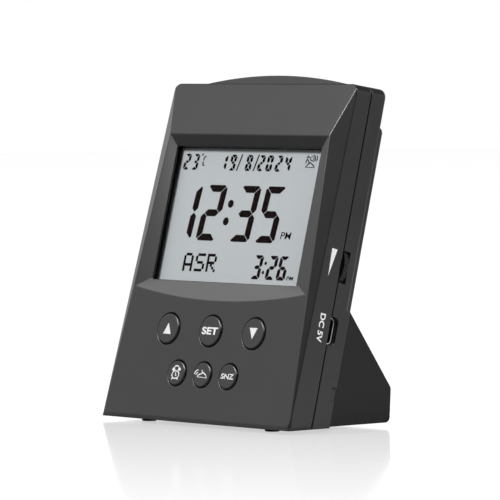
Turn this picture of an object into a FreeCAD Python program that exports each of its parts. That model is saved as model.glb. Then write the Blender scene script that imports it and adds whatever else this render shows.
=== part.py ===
import FreeCAD, Part
import math
import os
import Sketcher

# Leaning desk clock. All sizes are millimetres.
# The case frame has x to the right, y up along the front panel from the bottom front edge,
# and z out of the front panel. Everything inside lies at negative z.
# The foot frame has x to the right, y towards the back and z up, from the same edge.

Vector = FreeCAD.Vector
Placement = FreeCAD.Placement
Rotation = FreeCAD.Rotation

SIZES = [
    # case
    ("lean_angle", 14.6),
    ("bottom_width", 94.0),
    ("top_width", 91.7),
    ("slant_height", 119.6),
    ("parting_depth", 9.85),
    ("case_depth", 17.7),
    ("wall", 2.0),
    ("top_tilt", 6.4),
    ("case_corner_radius", 3.0),
    ("rear_edge_radius", 1.8),
    ("plateau_edge_radius", 1.1),
    ("seam_width", 0.45),
    ("seam_depth", 0.6),
    ("plateau_rise", 2.5),
    ("plateau_inset", 1.5),
    ("plateau_drop", 11.0),
    ("heel_chamfer", 1.4),
    ("notch_low", 13.7),
    ("notch_high", 18.3),
    ("notch_depth", 1.6),
    ("cheek_depth", 18.15),
    ("cheek_height", 44.5),
    # front relief
    ("ridge_drop", 18.5),
    ("ridge_width", 80.0),
    ("rim_drop_bottom", 0.1),
    ("rim_drop_top", 3.45),
    ("bezel_margin", 0.35),
    ("bezel_tip_height", 46.3),
    ("bezel_arc_low", 42.3),
    ("bezel_depth", 1.25),
    # display
    ("view_side_margin", 3.9),
    ("view_bottom", 49.2),
    ("view_top_margin", 4.5),
    ("window_thickness", 1.0),
    ("window_overlap", 2.2),
    ("glass_depth", 3.75),
    ("glass_thickness", 2.25),
    ("glass_overlap", 1.5),
    ("guide_thickness", 1.6),
    ("guide_inset", 4.2),
    ("zebra_width", 2.2),
    ("frame_wall", 1.9),
    ("glass_clearance", 0.2),
    # board
    ("board_front", 8.4),
    ("board_thickness", 1.6),
    ("board_bottom", 13.4),
    ("board_gap", 0.95),
    ("board_shoulder_drop", 20.1),
    ("board_top_drop", 12.6),
    ("board_neck_gap", 1.1),
    ("board_screw_low", 20.5),
    ("board_screw_middle", 43.0),
    ("board_screw_top_margin", 3.8),
    ("board_screw_low_margin", 11.0),
    ("board_screw_middle_margin", 5.0),
    ("board_screw_neck_margin", 3.5),
    ("board_boss_radius", 2.3),
    ("board_screw_radius", 0.9),
    ("board_screw_length", 6.0),
    ("board_screw_head_radius", 1.8),
    ("board_screw_head", 1.2),
    ("controller_size", 14.0),
    ("controller_height", 57.0),
    ("controller_thickness", 1.6),
    ("memory_width", 8.0),
    ("memory_length", 5.0),
    ("memory_thickness", 1.4),
    ("memory_x", 21.0),
    ("memory_height", 46.5),
    ("crystal_width", 2.2),
    ("crystal_length", 7.0),
    ("crystal_x", 13.1),
    ("crystal_height", 53.5),
    ("capacitor_radius", 2.5),
    ("capacitor_length", 5.2),
    ("capacitor_x", 16.0),
    ("capacitor_pitch", 7.0),
    ("capacitor_height", 36.0),
    ("thermistor_width", 1.6),
    ("thermistor_thickness", 0.8),
    ("thermistor_x", 36.0),
    ("thermistor_height", 20.4),
    # keys
    ("large_key_radius", 5.3),
    ("large_key_height", 31.95),
    ("large_key_pitch", 21.4),
    ("small_key_radius", 4.3),
    ("small_key_height", 16.75),
    ("small_key_pitch", 12.9),
    ("key_proud", 0.5),
    ("key_clearance", 0.35),
    ("key_edge_radius", 0.4),
    ("key_flange", 1.1),
    ("key_flange_thickness", 0.9),
    ("key_flange_gap", 0.2),
    ("key_post_radius", 1.4),
    ("key_travel", 0.6),
    ("switch_width", 6.0),
    ("switch_height", 3.4),
    ("plunger_radius", 1.6),
    ("plunger_clearance", 0.1),
    ("plunger_proud", 0.8),
    ("plunger_hidden", 1.0),
    # light bar
    ("bar_front", 8.5),
    ("bar_thickness", 3.5),
    ("bar_half_length", 38.4),
    ("bar_rise", 3.65),
    ("bar_arc_radius", 210.0),
    ("bar_clearance", 0.25),
    ("bar_flange", 1.0),
    ("bar_flange_height", 1.4),
    ("bar_travel", 1.2),
    ("bar_switch_height", 6.0),
    ("bar_switch_depth", 3.4),
    ("bar_switch_reach", 3.0),
    # volume wheel
    ("wheel_radius", 9.0),
    ("wheel_proud", 0.6),
    ("wheel_height", 58.45),
    ("wheel_depth", 11.05),
    ("wheel_thickness", 2.0),
    ("wheel_relief", 0.35),
    ("wheel_side_gap", 0.4),
    ("wheel_window", 10.9),
    ("wheel_teeth", 72),
    ("wheel_tooth_depth", 0.35),
    ("axle_radius", 1.5),
    ("axle_clearance", 0.05),
    ("pot_base_radius", 5.0),
    ("pot_base_thickness", 0.8),
    ("rivet_radius", 2.6),
    ("rivet_thickness", 0.6),
    ("rivet_gap", 0.12),
    # power socket
    ("socket_height", 36.5),
    ("socket_length", 8.94),
    ("socket_thickness", 3.2),
    ("socket_reach", 7.3),
    ("socket_wall", 0.32),
    ("socket_recess", 1.6),
    ("socket_clearance", 0.3),
    ("tongue_length", 6.7),
    ("tongue_thickness", 0.7),
    ("tongue_recess", 0.7),
    # loudspeaker
    ("speaker_radius", 18.0),
    ("speaker_drop", 39.6),
    ("speaker_flange", 1.0),
    ("speaker_depth", 4.2),
    ("magnet_radius", 8.0),
    ("magnet_thickness", 2.2),
    ("cone_thickness", 0.5),
    ("grille_slots", 7),
    ("grille_pitch", 3.8),
    ("grille_slot_width", 1.6),
    # case fasteners
    ("lower_boss_margin", 4.0),
    ("lower_boss_height", 10.0),
    ("upper_boss_margin", 0.3),
    ("upper_boss_drop", 15.6),
    ("boss_radius", 3.0),
    ("screw_radius", 1.3),
    ("screw_clearance", 0.05),
    ("pilot_room", 0.3),
    ("screw_head_radius", 2.4),
    ("screw_head", 1.5),
    ("screw_floor", 2.0),
    ("case_screw_length", 10.0),
    ("counterbore_clearance", 0.3),
    # foot
    ("foot_width", 85.0),
    ("foot_back", 51.4),
    ("foot_heel_back", 52.0),
    ("foot_heel_height", 11.8),
    ("foot_top_height", 40.1),
    ("foot_wall", 2.2),
    ("foot_corner_radius", 2.0),
    ("door_width", 72.0),
    ("door_length", 28.4),
    ("door_start", 3.6),
    ("door_thickness", 1.2),
    ("door_ledge", 2.0),
    ("door_clearance", 0.25),
    ("door_grip_radius", 6.0),
    ("door_grip_depth", 0.5),
    ("stand_screw_x", 33.0),
    ("stand_screw_height", 28.0),
    ("stand_screw_length", 8.0),
    ("lead_hole_radius", 2.2),
    # cells
    ("cell_radius", 5.25),
    ("cell_length", 43.3),
    ("cell_nub_radius", 1.9),
    ("cell_nub_length", 1.2),
    ("low_cell_front", 31.8),
    ("low_cell_back", 43.8),
    ("low_cell_height", 8.2),
    ("high_cell_back", 35.9),
    ("high_cell_height", 20.4),
    ("contact_thickness", 0.4),
    ("contact_width", 8.0),
    ("spring_reach", 3.0),
    ("cell_wall", 1.6),
    # pads
    ("pad_radius", 2.6),
    ("pad_thickness", 1.3),
    ("front_pad_x", 31.0),
    ("front_pad_back", 7.6),
    ("rear_pad_x", 17.0),
    ("rear_pad_back", 45.0),
    # wires
    ("lead_radius", 0.55),
    ("lead_spacing", 1.8),
]

doc = FreeCAD.newDocument("DeskClock")
sheet = doc.addObject("Spreadsheet::Sheet", "dims")


class Length:
    """A size that knows both its number and the sheet formula that drives it."""

    def __init__(self, value, formula):
        self.value = float(value)
        self.formula = formula

    def __add__(self, other):
        return Length(self.value + number(other), "(%s + %s)" % (self.formula, formula(other)))

    def __sub__(self, other):
        return Length(self.value - number(other), "(%s - %s)" % (self.formula, formula(other)))

    def __mul__(self, other):
        return Length(self.value * number(other), "(%s * %s)" % (self.formula, formula(other)))

    def __truediv__(self, other):
        return Length(self.value / number(other), "(%s / %s)" % (self.formula, formula(other)))

    def __neg__(self):
        return Length(-self.value, "(0 - %s)" % self.formula)

    def __rsub__(self, other):
        return -self + other

    __radd__ = __add__
    __rmul__ = __mul__


def number(size):
    return size.value if isinstance(size, Length) else float(size)


def formula(size):
    return size.formula if isinstance(size, Length) else "%r" % float(size)


D = {}
for row, (alias, value) in enumerate(SIZES, start=1):
    cell = "B%d" % row
    sheet.set("A%d" % row, alias)
    sheet.set(cell, str(value))
    sheet.setAlias(cell, alias)
    D[alias] = Length(value, "dims." + alias)
doc.recompute()


TOP = D["slant_height"]
D["ridge_height"] = TOP - D["ridge_drop"]
D["plateau_top"] = TOP - D["plateau_drop"]
D["view_width"] = D["ridge_width"] - D["view_side_margin"] * 2
D["view_top"] = D["ridge_height"] - D["view_top_margin"]
D["board_shoulder"] = TOP - D["board_shoulder_drop"]
D["board_top"] = TOP - D["board_top_drop"]
D["speaker_height"] = TOP - D["speaker_drop"]
D["upper_boss_height"] = TOP - D["upper_boss_drop"]
D["taper"] = (D["bottom_width"] - D["top_width"]) / 2 / TOP
D["lower_boss_x"] = D["foot_width"] / 2 - D["lower_boss_margin"]
upper_side = D["bottom_width"] / 2 - D["taper"] * D["upper_boss_height"]
D["upper_boss_x"] = upper_side - D["wall"] - D["boss_radius"] - D["upper_boss_margin"]
shoulder_side = D["bottom_width"] / 2 - D["taper"] * D["board_shoulder"]
D["board_half"] = shoulder_side - D["wall"] - D["board_gap"]
D["board_neck_half"] = D["upper_boss_x"] - D["boss_radius"] - D["board_neck_gap"]


def mm(alias):
    return D[alias].value


LEAN = math.radians(mm("lean_angle"))
FLOOR_SLOPE = math.tan(LEAN)
TOP_SLOPE = math.tan(math.radians(mm("top_tilt")))

# The origin is the middle of the ground under the whole object: half way between the flat left
# side and the rim of the volume wheel, half way from the front edge to the heel of the foot.
case_half_width = mm("bottom_width") / 2
wheel_rim_x = case_half_width - mm("taper") * mm("wheel_height") + mm("wheel_proud")
ORIGIN_SHIFT = Vector(-(wheel_rim_x - case_half_width) / 2, -mm("foot_heel_back") / 2, mm("pad_thickness"))
CASE = Placement(ORIGIN_SHIFT, Rotation(Vector(1, 0, 0), 90 - mm("lean_angle")))
FOOT = Placement(ORIGIN_SHIFT, Rotation())

exported = []


def keep(node, label, placement=Placement()):
    """Names a finished sub-part, places it and marks it for export."""
    node.Label = label
    node.Placement = placement
    exported.append(node)
    return node


def side_x(y):
    """Half width of the case at height y."""
    return case_half_width - mm("taper") * y


# ---------------------------------------------------------------- sketch helpers

def new_body(name):
    return doc.addObject("PartDesign::Body", name)


def new_sketch(body, role, name, offset=0.0):
    sketch = body.newObject("Sketcher::SketchObject", name)
    plane = [item for item in body.Origin.OriginFeatures if item.Role == role][0]
    sketch.AttachmentSupport = [(plane, "")]
    sketch.MapMode = "FlatFace"
    sketch.setExpression("AttachmentOffset.Base.z", formula(offset))
    return sketch


def pin(sketch, geometry, vertex, point):
    for kind, size in zip(("DistanceX", "DistanceY"), point):
        index = sketch.addConstraint(Sketcher.Constraint(kind, -1, 1, geometry, vertex, number(size)))
        sketch.setExpression("Constraints[%d]" % index, formula(size))


def draw_polygon(sketch, points):
    first = sketch.GeometryCount
    count = len(points)
    corners = [Vector(number(x), number(y), 0) for x, y in points]
    for index in range(count):
        sketch.addGeometry(Part.LineSegment(corners[index], corners[(index + 1) % count]), False)
    for index in range(count):
        following = first + (index + 1) % count
        sketch.addConstraint(Sketcher.Constraint("Coincident", first + index, 2, following, 1))
    for index in range(count):
        pin(sketch, first + index, 1, points[index])


def draw_rectangle(sketch, left, right, low, high):
    draw_polygon(sketch, [(left, low), (right, low), (right, high), (left, high)])


def draw_circle(sketch, centre, radius):
    middle = Vector(number(centre[0]), number(centre[1]), 0)
    geometry = sketch.addGeometry(Part.Circle(middle, Vector(0, 0, 1), number(radius)), False)
    pin(sketch, geometry, 3, centre)
    index = sketch.addConstraint(Sketcher.Constraint("Radius", geometry, number(radius)))
    sketch.setExpression("Constraints[%d]" % index, formula(radius))


def pad(body, sketch, length, name):
    feature = body.newObject("PartDesign::Pad", name)
    feature.Profile = sketch
    feature.setExpression("Length", formula(length))
    doc.recompute()
    return feature


def pocket(body, sketch, length, name, towards_positive):
    """Cuts the sketch out of the body, along or against the sketch normal."""
    before = body.Shape.Volume
    feature = body.newObject("PartDesign::Pocket", name)
    feature.Profile = sketch
    feature.setExpression("Length", formula(length))
    feature.Reversed = towards_positive
    doc.recompute()
    if body.Shape.Volume >= before:
        raise RuntimeError("pocket %s cut nothing" % name)
    return feature


def revolve(name, profile):
    """A body of revolution about its own z axis, from (radius, height) points."""
    body = new_body(name)
    sketch = new_sketch(body, "XZ_Plane", name + "_profile")
    draw_polygon(sketch, profile)
    feature = body.newObject("PartDesign::Revolution", name + "_turn")
    feature.Profile = sketch
    feature.ReferenceAxis = (sketch, ["V_Axis"])
    feature.Angle = 360
    doc.recompute()
    return body


def slab(name, left, right, low, high, back, front):
    """A rectangular plate between the z levels back and front."""
    body = new_body(name)
    sketch = new_sketch(body, "XY_Plane", name + "_outline", back)
    draw_rectangle(sketch, left, right, low, high)
    pad(body, sketch, front - back, name + "_pad")
    return body


def group(name, label, prototype, places, frame):
    """One node that holds a separate solid at each place."""
    node = doc.addObject("Part::Feature", name)
    node.Shape = Part.makeCompound([placed(prototype.Shape, place) for place in places])
    return keep(node, label, frame)


def placed(shape, place):
    copy = shape.copy()
    copy.Placement = place.multiply(shape.Placement)
    return copy


def shift(x, y, z):
    return Placement(Vector(x, y, z), Rotation())


# ---------------------------------------------------------------- case envelope

CUTTER_SIZE = 4 * mm("slant_height")


def trim(solid, point, outward):
    """Removes everything beyond the plane through the point."""
    corner = Vector(-CUTTER_SIZE / 2, -CUTTER_SIZE / 2, 0)
    waste = Part.makeBox(CUTTER_SIZE, CUTTER_SIZE, CUTTER_SIZE, corner)
    waste.Placement = Placement(point, Rotation(Vector(0, 0, 1), outward))
    return solid.cut(waste)


def outline_prism(inset, front, back, corner_radius):
    """The case outline, moved inwards by the inset, between two z levels."""
    top_at_panel = top_surface(0, inset)
    low = -mm("slant_height") / 4
    half_low = side_x(low) - inset
    half_top = side_x(top_at_panel) - inset
    corners = [(-half_low, low), (half_low, low), (half_top, top_at_panel), (-half_top, top_at_panel)]
    points = [Vector(x, y - front * TOP_SLOPE, front) for x, y in corners]
    face = Part.Face(Part.makePolygon(points + points[:1]))
    depth = front - back
    prism = face.extrude(Vector(0, depth * TOP_SLOPE, -depth))
    if corner_radius > 0:
        lateral = [edge for edge in prism.Edges if is_top_corner(edge, depth)]
        prism = prism.makeFillet(corner_radius, lateral)
    return prism


def is_top_corner(edge, depth):
    """True for the two edges that run from front to back at the top corners."""
    run = edge.Vertexes[-1].Point - edge.Vertexes[0].Point
    return abs(abs(run.z) - depth) < 1e-6 and edge.BoundBox.YMin > mm("slant_height") / 2


def floor_trim(solid, inset):
    """Cuts the case level with the ground."""
    outward = Vector(0, -1, -FLOOR_SLOPE).normalize()
    return trim(solid, outward * -inset, outward)


def front_relief(solid, inset):
    """Cuts the raised lower panel, the sloping upper panel and the two side facets."""
    ridge = mm("ridge_height")
    rim_top = mm("rim_drop_top")
    solid = trim(solid, Vector(0, 0, -inset), Vector(0, 0, 1))
    upper = Vector(0, rim_top, mm("slant_height") - ridge).normalize()
    solid = trim(solid, Vector(0, ridge, 0) - upper * inset, upper)
    rim_bottom = mm("rim_drop_bottom")
    for side in (-1, 1):
        ridge_corner = Vector(side * mm("ridge_width") / 2, ridge, 0)
        top_corner = Vector(side * mm("top_width") / 2, mm("slant_height"), -rim_top)
        low_corner = Vector(side * mm("bottom_width") / 2, rim_bottom * FLOOR_SLOPE, -rim_bottom)
        outward = (top_corner - ridge_corner).cross(low_corner - ridge_corner).normalize()
        if outward.z < 0:
            outward = outward * -1
        solid = trim(solid, ridge_corner - outward * inset, outward)
    return solid


def panel_half_width(y):
    """Half width of the flat lower panel at height y, where the side facet meets it."""
    low_x = mm("bottom_width") / 2
    rim_bottom = mm("rim_drop_bottom")
    ridge = Vector(mm("ridge_width") / 2, mm("ridge_height"), 0)
    top = Vector(mm("top_width") / 2, mm("slant_height"), -mm("rim_drop_top"))
    low = Vector(low_x, rim_bottom * FLOOR_SLOPE, -rim_bottom)
    normal = (top - ridge).cross(low - ridge)
    return ridge.x - normal.y * (y - ridge.y) / normal.x


def disc(x, y, low, high, radius):
    return Part.makeCylinder(radius, high - low, Vector(x, y, low))


def block(left, right, low, high, back, front):
    return Part.makeBox(right - left, high - low, front - back, Vector(left, low, back))


# ---------------------------------------------------------------- places shared by the pieces

PARTING = -mm("parting_depth")
REAR = -mm("case_depth")
PLATEAU = REAR - mm("plateau_rise")
BOARD_FRONT = -mm("board_front")
BOARD_BACK = BOARD_FRONT - mm("board_thickness")
BOARD_SCREW_ROWS = [
    (mm("board_half") - mm("board_screw_low_margin"), mm("board_screw_low")),
    (mm("board_half") - mm("board_screw_middle_margin"), mm("board_screw_middle")),
    (mm("board_neck_half") - mm("board_screw_neck_margin"), mm("board_top") - mm("board_screw_top_margin")),
]
BOARD_SCREWS = [(side * x, y) for x, y in BOARD_SCREW_ROWS for side in (-1, 1)]
CASE_SCREW_ROWS = [(mm(row + "_boss_x"), mm(row + "_boss_height")) for row in ("lower", "upper")]
CASE_SCREWS = [(side * x, y) for x, y in CASE_SCREW_ROWS for side in (-1, 1)]
STAND_SCREWS = [(side * mm("stand_screw_x"), mm("stand_screw_height")) for side in (-1, 1)]
LARGE_KEYS = ["up", "set", "down"]
SMALL_KEYS = ["alarm", "azan", "snooze"]
KEYS = []
for size, names in (("large", LARGE_KEYS), ("small", SMALL_KEYS)):
    for column, name in enumerate(names):
        KEYS.append((name, size, (column - 1) * mm(size + "_key_pitch"), mm(size + "_key_height")))
WHEEL_X = wheel_rim_x - mm("wheel_radius")
WHEEL_FRONT = -mm("wheel_depth")
WHEEL_BACK = WHEEL_FRONT - mm("wheel_thickness")
SOCKET_Z = BOARD_BACK - mm("socket_thickness") / 2
SOCKET_MOUTH = side_x(mm("socket_height")) - mm("socket_recess")
BAR_BACK = -mm("bar_front") - mm("bar_thickness")


def top_surface(z, inset=0.0):
    """Height of the sloping top of the case at depth z."""
    lift = inset / math.cos(math.radians(mm("top_tilt")))
    return mm("slant_height") - lift + (-z - mm("rim_drop_top")) * TOP_SLOPE


BAR_APEX = top_surface(-mm("bar_front")) + mm("bar_rise")
BAR_FLANGE_TOP = top_surface(-mm("bar_front") + mm("bar_flange"), mm("wall")) - mm("bar_clearance")


def bar_slot():
    """The slot in the top wall that the light bar moves in."""
    gap = mm("bar_clearance")
    reach = mm("bar_half_length") + gap
    return block(-reach, reach, BAR_FLANGE_TOP, BAR_APEX, BAR_BACK - gap, -mm("bar_front") + gap)


# ---------------------------------------------------------------- front shell

def front_shell():
    """Moulded front half: faceted face, bevelled bezel, key holes, screw bosses."""
    wall = mm("wall")
    shape = outline_prism(0, mm("wall"), PARTING, mm("case_corner_radius"))
    shape = floor_trim(front_relief(shape, 0), 0)
    cavity = outline_prism(wall, mm("wall"), PARTING - wall, 0)
    cavity = floor_trim(front_relief(cavity, wall), wall)
    shape = shape.cut(cavity)
    bosses = [disc(x, y, PARTING, -wall, mm("boss_radius")) for x, y in CASE_SCREWS]
    bosses += [disc(x, y, BOARD_FRONT, -wall, mm("board_boss_radius")) for x, y in BOARD_SCREWS]
    envelope = floor_trim(front_relief(outline_prism(wall / 2, wall, PARTING, 0), wall / 2), wall / 2)
    shape = shape.fuse([boss.common(envelope) for boss in bosses])
    shape = shape.cut(bezel_funnel())
    half_view = mm("view_width") / 2
    shape = shape.cut(block(-half_view, half_view, mm("view_bottom"), mm("view_top"), -2 * wall, wall))
    for _, size, x, y in KEYS:
        hole_radius = mm(size + "_key_radius") + mm("key_clearance")
        shape = shape.cut(disc(x, y, -2 * wall, wall, hole_radius))
    pilot = mm("screw_radius") + mm("screw_clearance")
    for x, y in CASE_SCREWS:
        shape = shape.cut(disc(x, y, PARTING - 1, case_screw_tip(), pilot))
    board_pilot = mm("board_screw_radius") + mm("screw_clearance")
    pilot_end = BOARD_BACK + mm("board_screw_length") + mm("pilot_room")
    for x, y in BOARD_SCREWS:
        shape = shape.cut(disc(x, y, BOARD_FRONT - 1, pilot_end, board_pilot))
    shape = shape.cut(bar_slot())
    node = doc.addObject("Part::Feature", "front_shell")
    node.Shape = shape.removeSplitter()
    keep(node, "front_shell", CASE)


def bezel_funnel():
    """The recess that slopes from the panel down to the display opening, with an arched lower edge."""
    margin = mm("bezel_margin")
    top = mm("ridge_height") - margin
    tip = mm("bezel_tip_height")
    half_top = panel_half_width(top) - margin
    half_tip = panel_half_width(tip) - margin
    upper_left = Vector(-half_top, top, 0)
    upper_right = Vector(half_top, top, 0)
    left_tip = Vector(-half_tip, tip, 0)
    right_tip = Vector(half_tip, tip, 0)
    arch = Part.Arc(left_tip, Vector(0, mm("bezel_arc_low"), 0), right_tip).toShape()
    outer = Part.Wire([
        arch,
        Part.makeLine(right_tip, upper_right),
        Part.makeLine(upper_right, upper_left),
        Part.makeLine(upper_left, left_tip),
    ])
    half = mm("view_width") / 2
    depth = -mm("bezel_depth")
    corners = [
        Vector(-half, mm("view_bottom"), depth),
        Vector(half, mm("view_bottom"), depth),
        Vector(half, mm("view_top"), depth),
        Vector(-half, mm("view_top"), depth),
    ]
    inner = Part.makePolygon(corners + corners[:1])
    return Part.makeLoft([outer, inner], True, True)


# ---------------------------------------------------------------- rear shell

def case_screw_tip():
    """Depth of the tip of the case screws."""
    return screw_seat() + mm("case_screw_length")


def screw_seat():
    """Depth of the face that the case screw heads press on."""
    return REAR + mm("screw_floor") + mm("screw_head")


def plateau_prism(inset, front, back, radius):
    """The raised middle of the rear face, moved inwards by the inset."""
    top = mm("plateau_top") - inset
    low = -mm("slant_height") / 4
    half_low = side_x(low) - mm("plateau_inset") - inset
    half_top = side_x(top) - mm("plateau_inset") - inset
    corners = [(-half_low, low), (half_low, low), (half_top, top), (-half_top, top)]
    points = [Vector(x, y, back) for x, y in corners]
    prism = Part.Face(Part.makePolygon(points + points[:1])).extrude(Vector(0, 0, front - back))
    if radius > 0:
        upright = [edge for edge in prism.Edges if edge.BoundBox.ZLength > 1e-6 and edge.BoundBox.YMin > 0]
        prism = prism.makeFillet(2 * radius, upright)
        rim = [edge for edge in prism.Edges if edge.BoundBox.ZMax < back + 1e-6]
        prism = prism.makeFillet(radius, rim)
    return prism


def rear_envelope():
    """Outer form of the rear half, with square side edges beside the foot."""
    shape = outline_prism(0, PARTING, REAR, mm("case_corner_radius"))
    rim = [edge for edge in shape.Edges if edge.BoundBox.ZMax < REAR + 1e-6]
    shape = shape.makeFillet(mm("rear_edge_radius"), rim)
    shape = shape.fuse(plateau_prism(0, REAR + mm("wall"), PLATEAU, mm("plateau_edge_radius")))
    cheek = outline_prism(0, PARTING, -mm("cheek_depth"), 0)
    reach = case_half_width
    beside_foot = block(-reach, reach, -mm("cheek_height"), mm("cheek_height"), PLATEAU, PARTING)
    shape = shape.fuse(cheek.common(beside_foot))
    shape = floor_trim(shape, 0)
    heel = Vector(0, -PLATEAU * FLOOR_SLOPE, PLATEAU)
    inward = Vector(0, 0, 1) * mm("heel_chamfer")
    outward = Vector(0, -math.cos(LEAN / 2 + math.pi / 4), -math.sin(LEAN / 2 + math.pi / 4))
    return trim(shape, heel + inward, outward)


def rear_shell():
    """Moulded rear half: plateau, speaker grille, screw wells, socket and wheel openings."""
    wall = mm("wall")
    shape = rear_envelope()
    cavity = outline_prism(wall, PARTING + 1, REAR + wall, 0)
    cavity = cavity.fuse(plateau_prism(wall, REAR + 2 * wall, PLATEAU + wall, 0))
    shape = shape.cut(floor_trim(cavity, wall))
    seam = outline_prism(-1, PARTING + 1, PARTING - mm("seam_width"), 0)
    core = outline_prism(mm("seam_depth"), PARTING + 2, PARTING - 2, 0)
    seam = seam.cut(floor_trim(core, mm("seam_depth")))
    shape = shape.cut(seam)
    envelope = floor_trim(outline_prism(wall / 2, PARTING, PLATEAU, 0), wall / 2)
    boss_back = PLATEAU + wall / 2
    bosses = [disc(x, y, boss_back, PARTING, mm("boss_radius")).common(envelope) for x, y in CASE_SCREWS]
    stand_tip = PLATEAU - mm("foot_wall") + mm("stand_screw_length")
    bosses += [disc(x, y, boss_back, stand_tip + 0.5, mm("boss_radius")) for x, y in STAND_SCREWS]
    ring = disc(0, mm("speaker_height"), boss_back, PLATEAU + 2 * wall, mm("speaker_radius") + wall)
    ring = ring.cut(disc(0, mm("speaker_height"), PLATEAU, REAR + 2 * wall, mm("speaker_radius") + 0.2))
    shape = shape.fuse(bosses + [ring])
    for x, y in CASE_SCREWS:
        well = mm("screw_head_radius") + mm("counterbore_clearance")
        shape = shape.cut(disc(x, y, PLATEAU - 1, screw_seat(), well))
        shape = shape.cut(disc(x, y, PLATEAU, PARTING + 1, mm("screw_radius") + mm("screw_clearance")))
    pilot = mm("screw_radius") + mm("screw_clearance")
    for x, y in STAND_SCREWS:
        shape = shape.cut(disc(x, y, PLATEAU - 1, stand_tip + mm("pilot_room"), pilot))
    shape = shape.cut(grille())
    shape = shape.cut([bar_slot(), wheel_opening(), socket_opening(), pry_notch(), lead_hole()])
    node = doc.addObject("Part::Feature", "rear_shell")
    node.Shape = shape.removeSplitter()
    keep(node, "rear_shell", CASE)


def grille():
    """Level slots in the rear wall over the loudspeaker, ended by its round rim."""
    count = int(mm("grille_slots"))
    reach = mm("speaker_radius") - 2 * mm("wall")
    slots = []
    for index in range(count):
        middle = mm("speaker_height") + (index - (count - 1) / 2) * mm("grille_pitch")
        offset = middle - mm("speaker_height")
        half = math.sqrt(reach ** 2 - offset ** 2)
        low = middle - mm("grille_slot_width") / 2
        high = low + mm("grille_slot_width")
        slots.append(block(-half, half, low, high, PLATEAU - 1, PLATEAU + mm("wall") + 0.2))
    return Part.makeCompound(slots)


def wheel_opening():
    """The window for the thumbwheel in the right wall, with room for its round rim behind."""
    back = WHEEL_BACK - mm("wheel_side_gap")
    y = mm("wheel_height")
    half = mm("wheel_window") / 2
    room = disc(WHEEL_X, y, back, PARTING + 1, mm("wheel_radius") + mm("wheel_relief"))
    inside = block(WHEEL_X, side_x(y) - mm("wall") / 3, y - 2 * half, y + 2 * half, back, PARTING + 1)
    window = block(WHEEL_X, case_half_width + 1, y - half, y + half, back, PARTING + 1)
    return room.common(inside).fuse(window)


def socket_opening():
    """The gap around the power socket, from the parting line back, with two rounded corners."""
    gap = mm("socket_clearance")
    half = mm("socket_length") / 2 + gap
    back = SOCKET_Z - mm("socket_thickness") / 2 - gap
    y = mm("socket_height")
    inner = SOCKET_MOUTH - mm("socket_reach") / 2
    opening = block(inner, case_half_width + 1, y - half, y + half, back, PARTING + 1)
    back_edges = [edge for edge in opening.Edges if edge.BoundBox.ZMax < back + 1e-6]
    ends = [edge for edge in back_edges if edge.BoundBox.XLength > 1e-6]
    return opening.makeFillet(mm("socket_thickness") / 2, ends)


def pry_notch():
    """Small recess in the right rear edge beside the foot."""
    low = mm("notch_low")
    high = mm("notch_high")
    inner = side_x(low) - mm("plateau_inset") - mm("wall") / 2
    return block(inner, case_half_width + 1, low, high, PLATEAU - 1, REAR + mm("notch_depth"))


def lead_hole():
    """Passage for the battery wires between the foot and the case."""
    bottom = PLATEAU - 2 * mm("foot_wall")
    return disc(0, mm("stand_screw_height"), bottom, PLATEAU + 2 * mm("wall"), mm("lead_hole_radius"))


# ---------------------------------------------------------------- display

def display_parts():
    """Window, glass, frame, light guide and connector strips, stacked behind the bezel."""
    wall = D["wall"]
    view_half = D["view_width"] / 2
    low = D["view_bottom"]
    high = D["view_top"]
    over = D["window_overlap"]
    half = view_half + over
    window_back = -wall - D["window_thickness"]
    window = slab("window", -half, half, low - over, high + over, window_back, -wall)
    keep(window, "display_window", CASE)

    over = D["glass_overlap"]
    half = view_half + over
    glass_front = -D["glass_depth"]
    glass_back = glass_front - D["glass_thickness"]
    glass = slab("glass", -half, half, low - over, high + over, glass_back, glass_front)
    keep(glass, "lcd_panel", CASE)

    room = over + D["glass_clearance"]
    outer = room + D["frame_wall"]
    board = -D["board_front"]
    edge = view_half + outer
    frame = slab("frame", -edge, edge, low - outer, high + outer, board, window_back)
    lip = new_sketch(frame, "XY_Plane", "frame_opening", window_back)
    draw_rectangle(lip, -view_half, view_half, low, high)
    pocket(frame, lip, D["board_front"], "frame_window", False)
    seat = new_sketch(frame, "XY_Plane", "frame_room", board)
    draw_rectangle(seat, -view_half - room, view_half + room, low - room, high + room)
    pocket(frame, seat, D["board_front"] - D["glass_depth"], "frame_seat", True)
    keep(frame, "lcd_frame", CASE)

    inset = D["guide_inset"]
    guide_low = low - over + inset
    guide_high = high + over - inset
    guide = slab("guide", -half, half, guide_low, guide_high, glass_back - D["guide_thickness"], glass_back)
    keep(guide, "light_guide", CASE)

    height = D["zebra_width"]
    middle = inset / 2
    strip_low = low - over + middle - height / 2
    strip = slab("strip", -half, half, strip_low, strip_low + height, board, glass_back)
    rise = number(high + over - middle) - number(low - over + middle)
    group("strips", "zebra_strips", strip, [Placement(), shift(0, rise, 0)], CASE)


# ---------------------------------------------------------------- board and what sits on it

def main_board():
    """Circuit board with a neck between the upper screw wells and a hole for each screw."""
    body = new_body("board")
    outline = new_sketch(body, "XY_Plane", "board_outline", -D["board_front"] - D["board_thickness"])
    half = D["board_half"]
    neck = D["board_neck_half"]
    draw_polygon(outline, [
        (-half, D["board_bottom"]),
        (half, D["board_bottom"]),
        (half, D["board_shoulder"]),
        (neck, D["board_shoulder"]),
        (neck, D["board_top"]),
        (-neck, D["board_top"]),
        (-neck, D["board_shoulder"]),
        (-half, D["board_shoulder"]),
    ])
    for x, y in BOARD_SCREWS:
        draw_circle(outline, (x, y), D["board_screw_radius"] + 0.2)
    pad(body, outline, D["board_thickness"], "board_pad")
    keep(body, "main_board", CASE)


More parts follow.
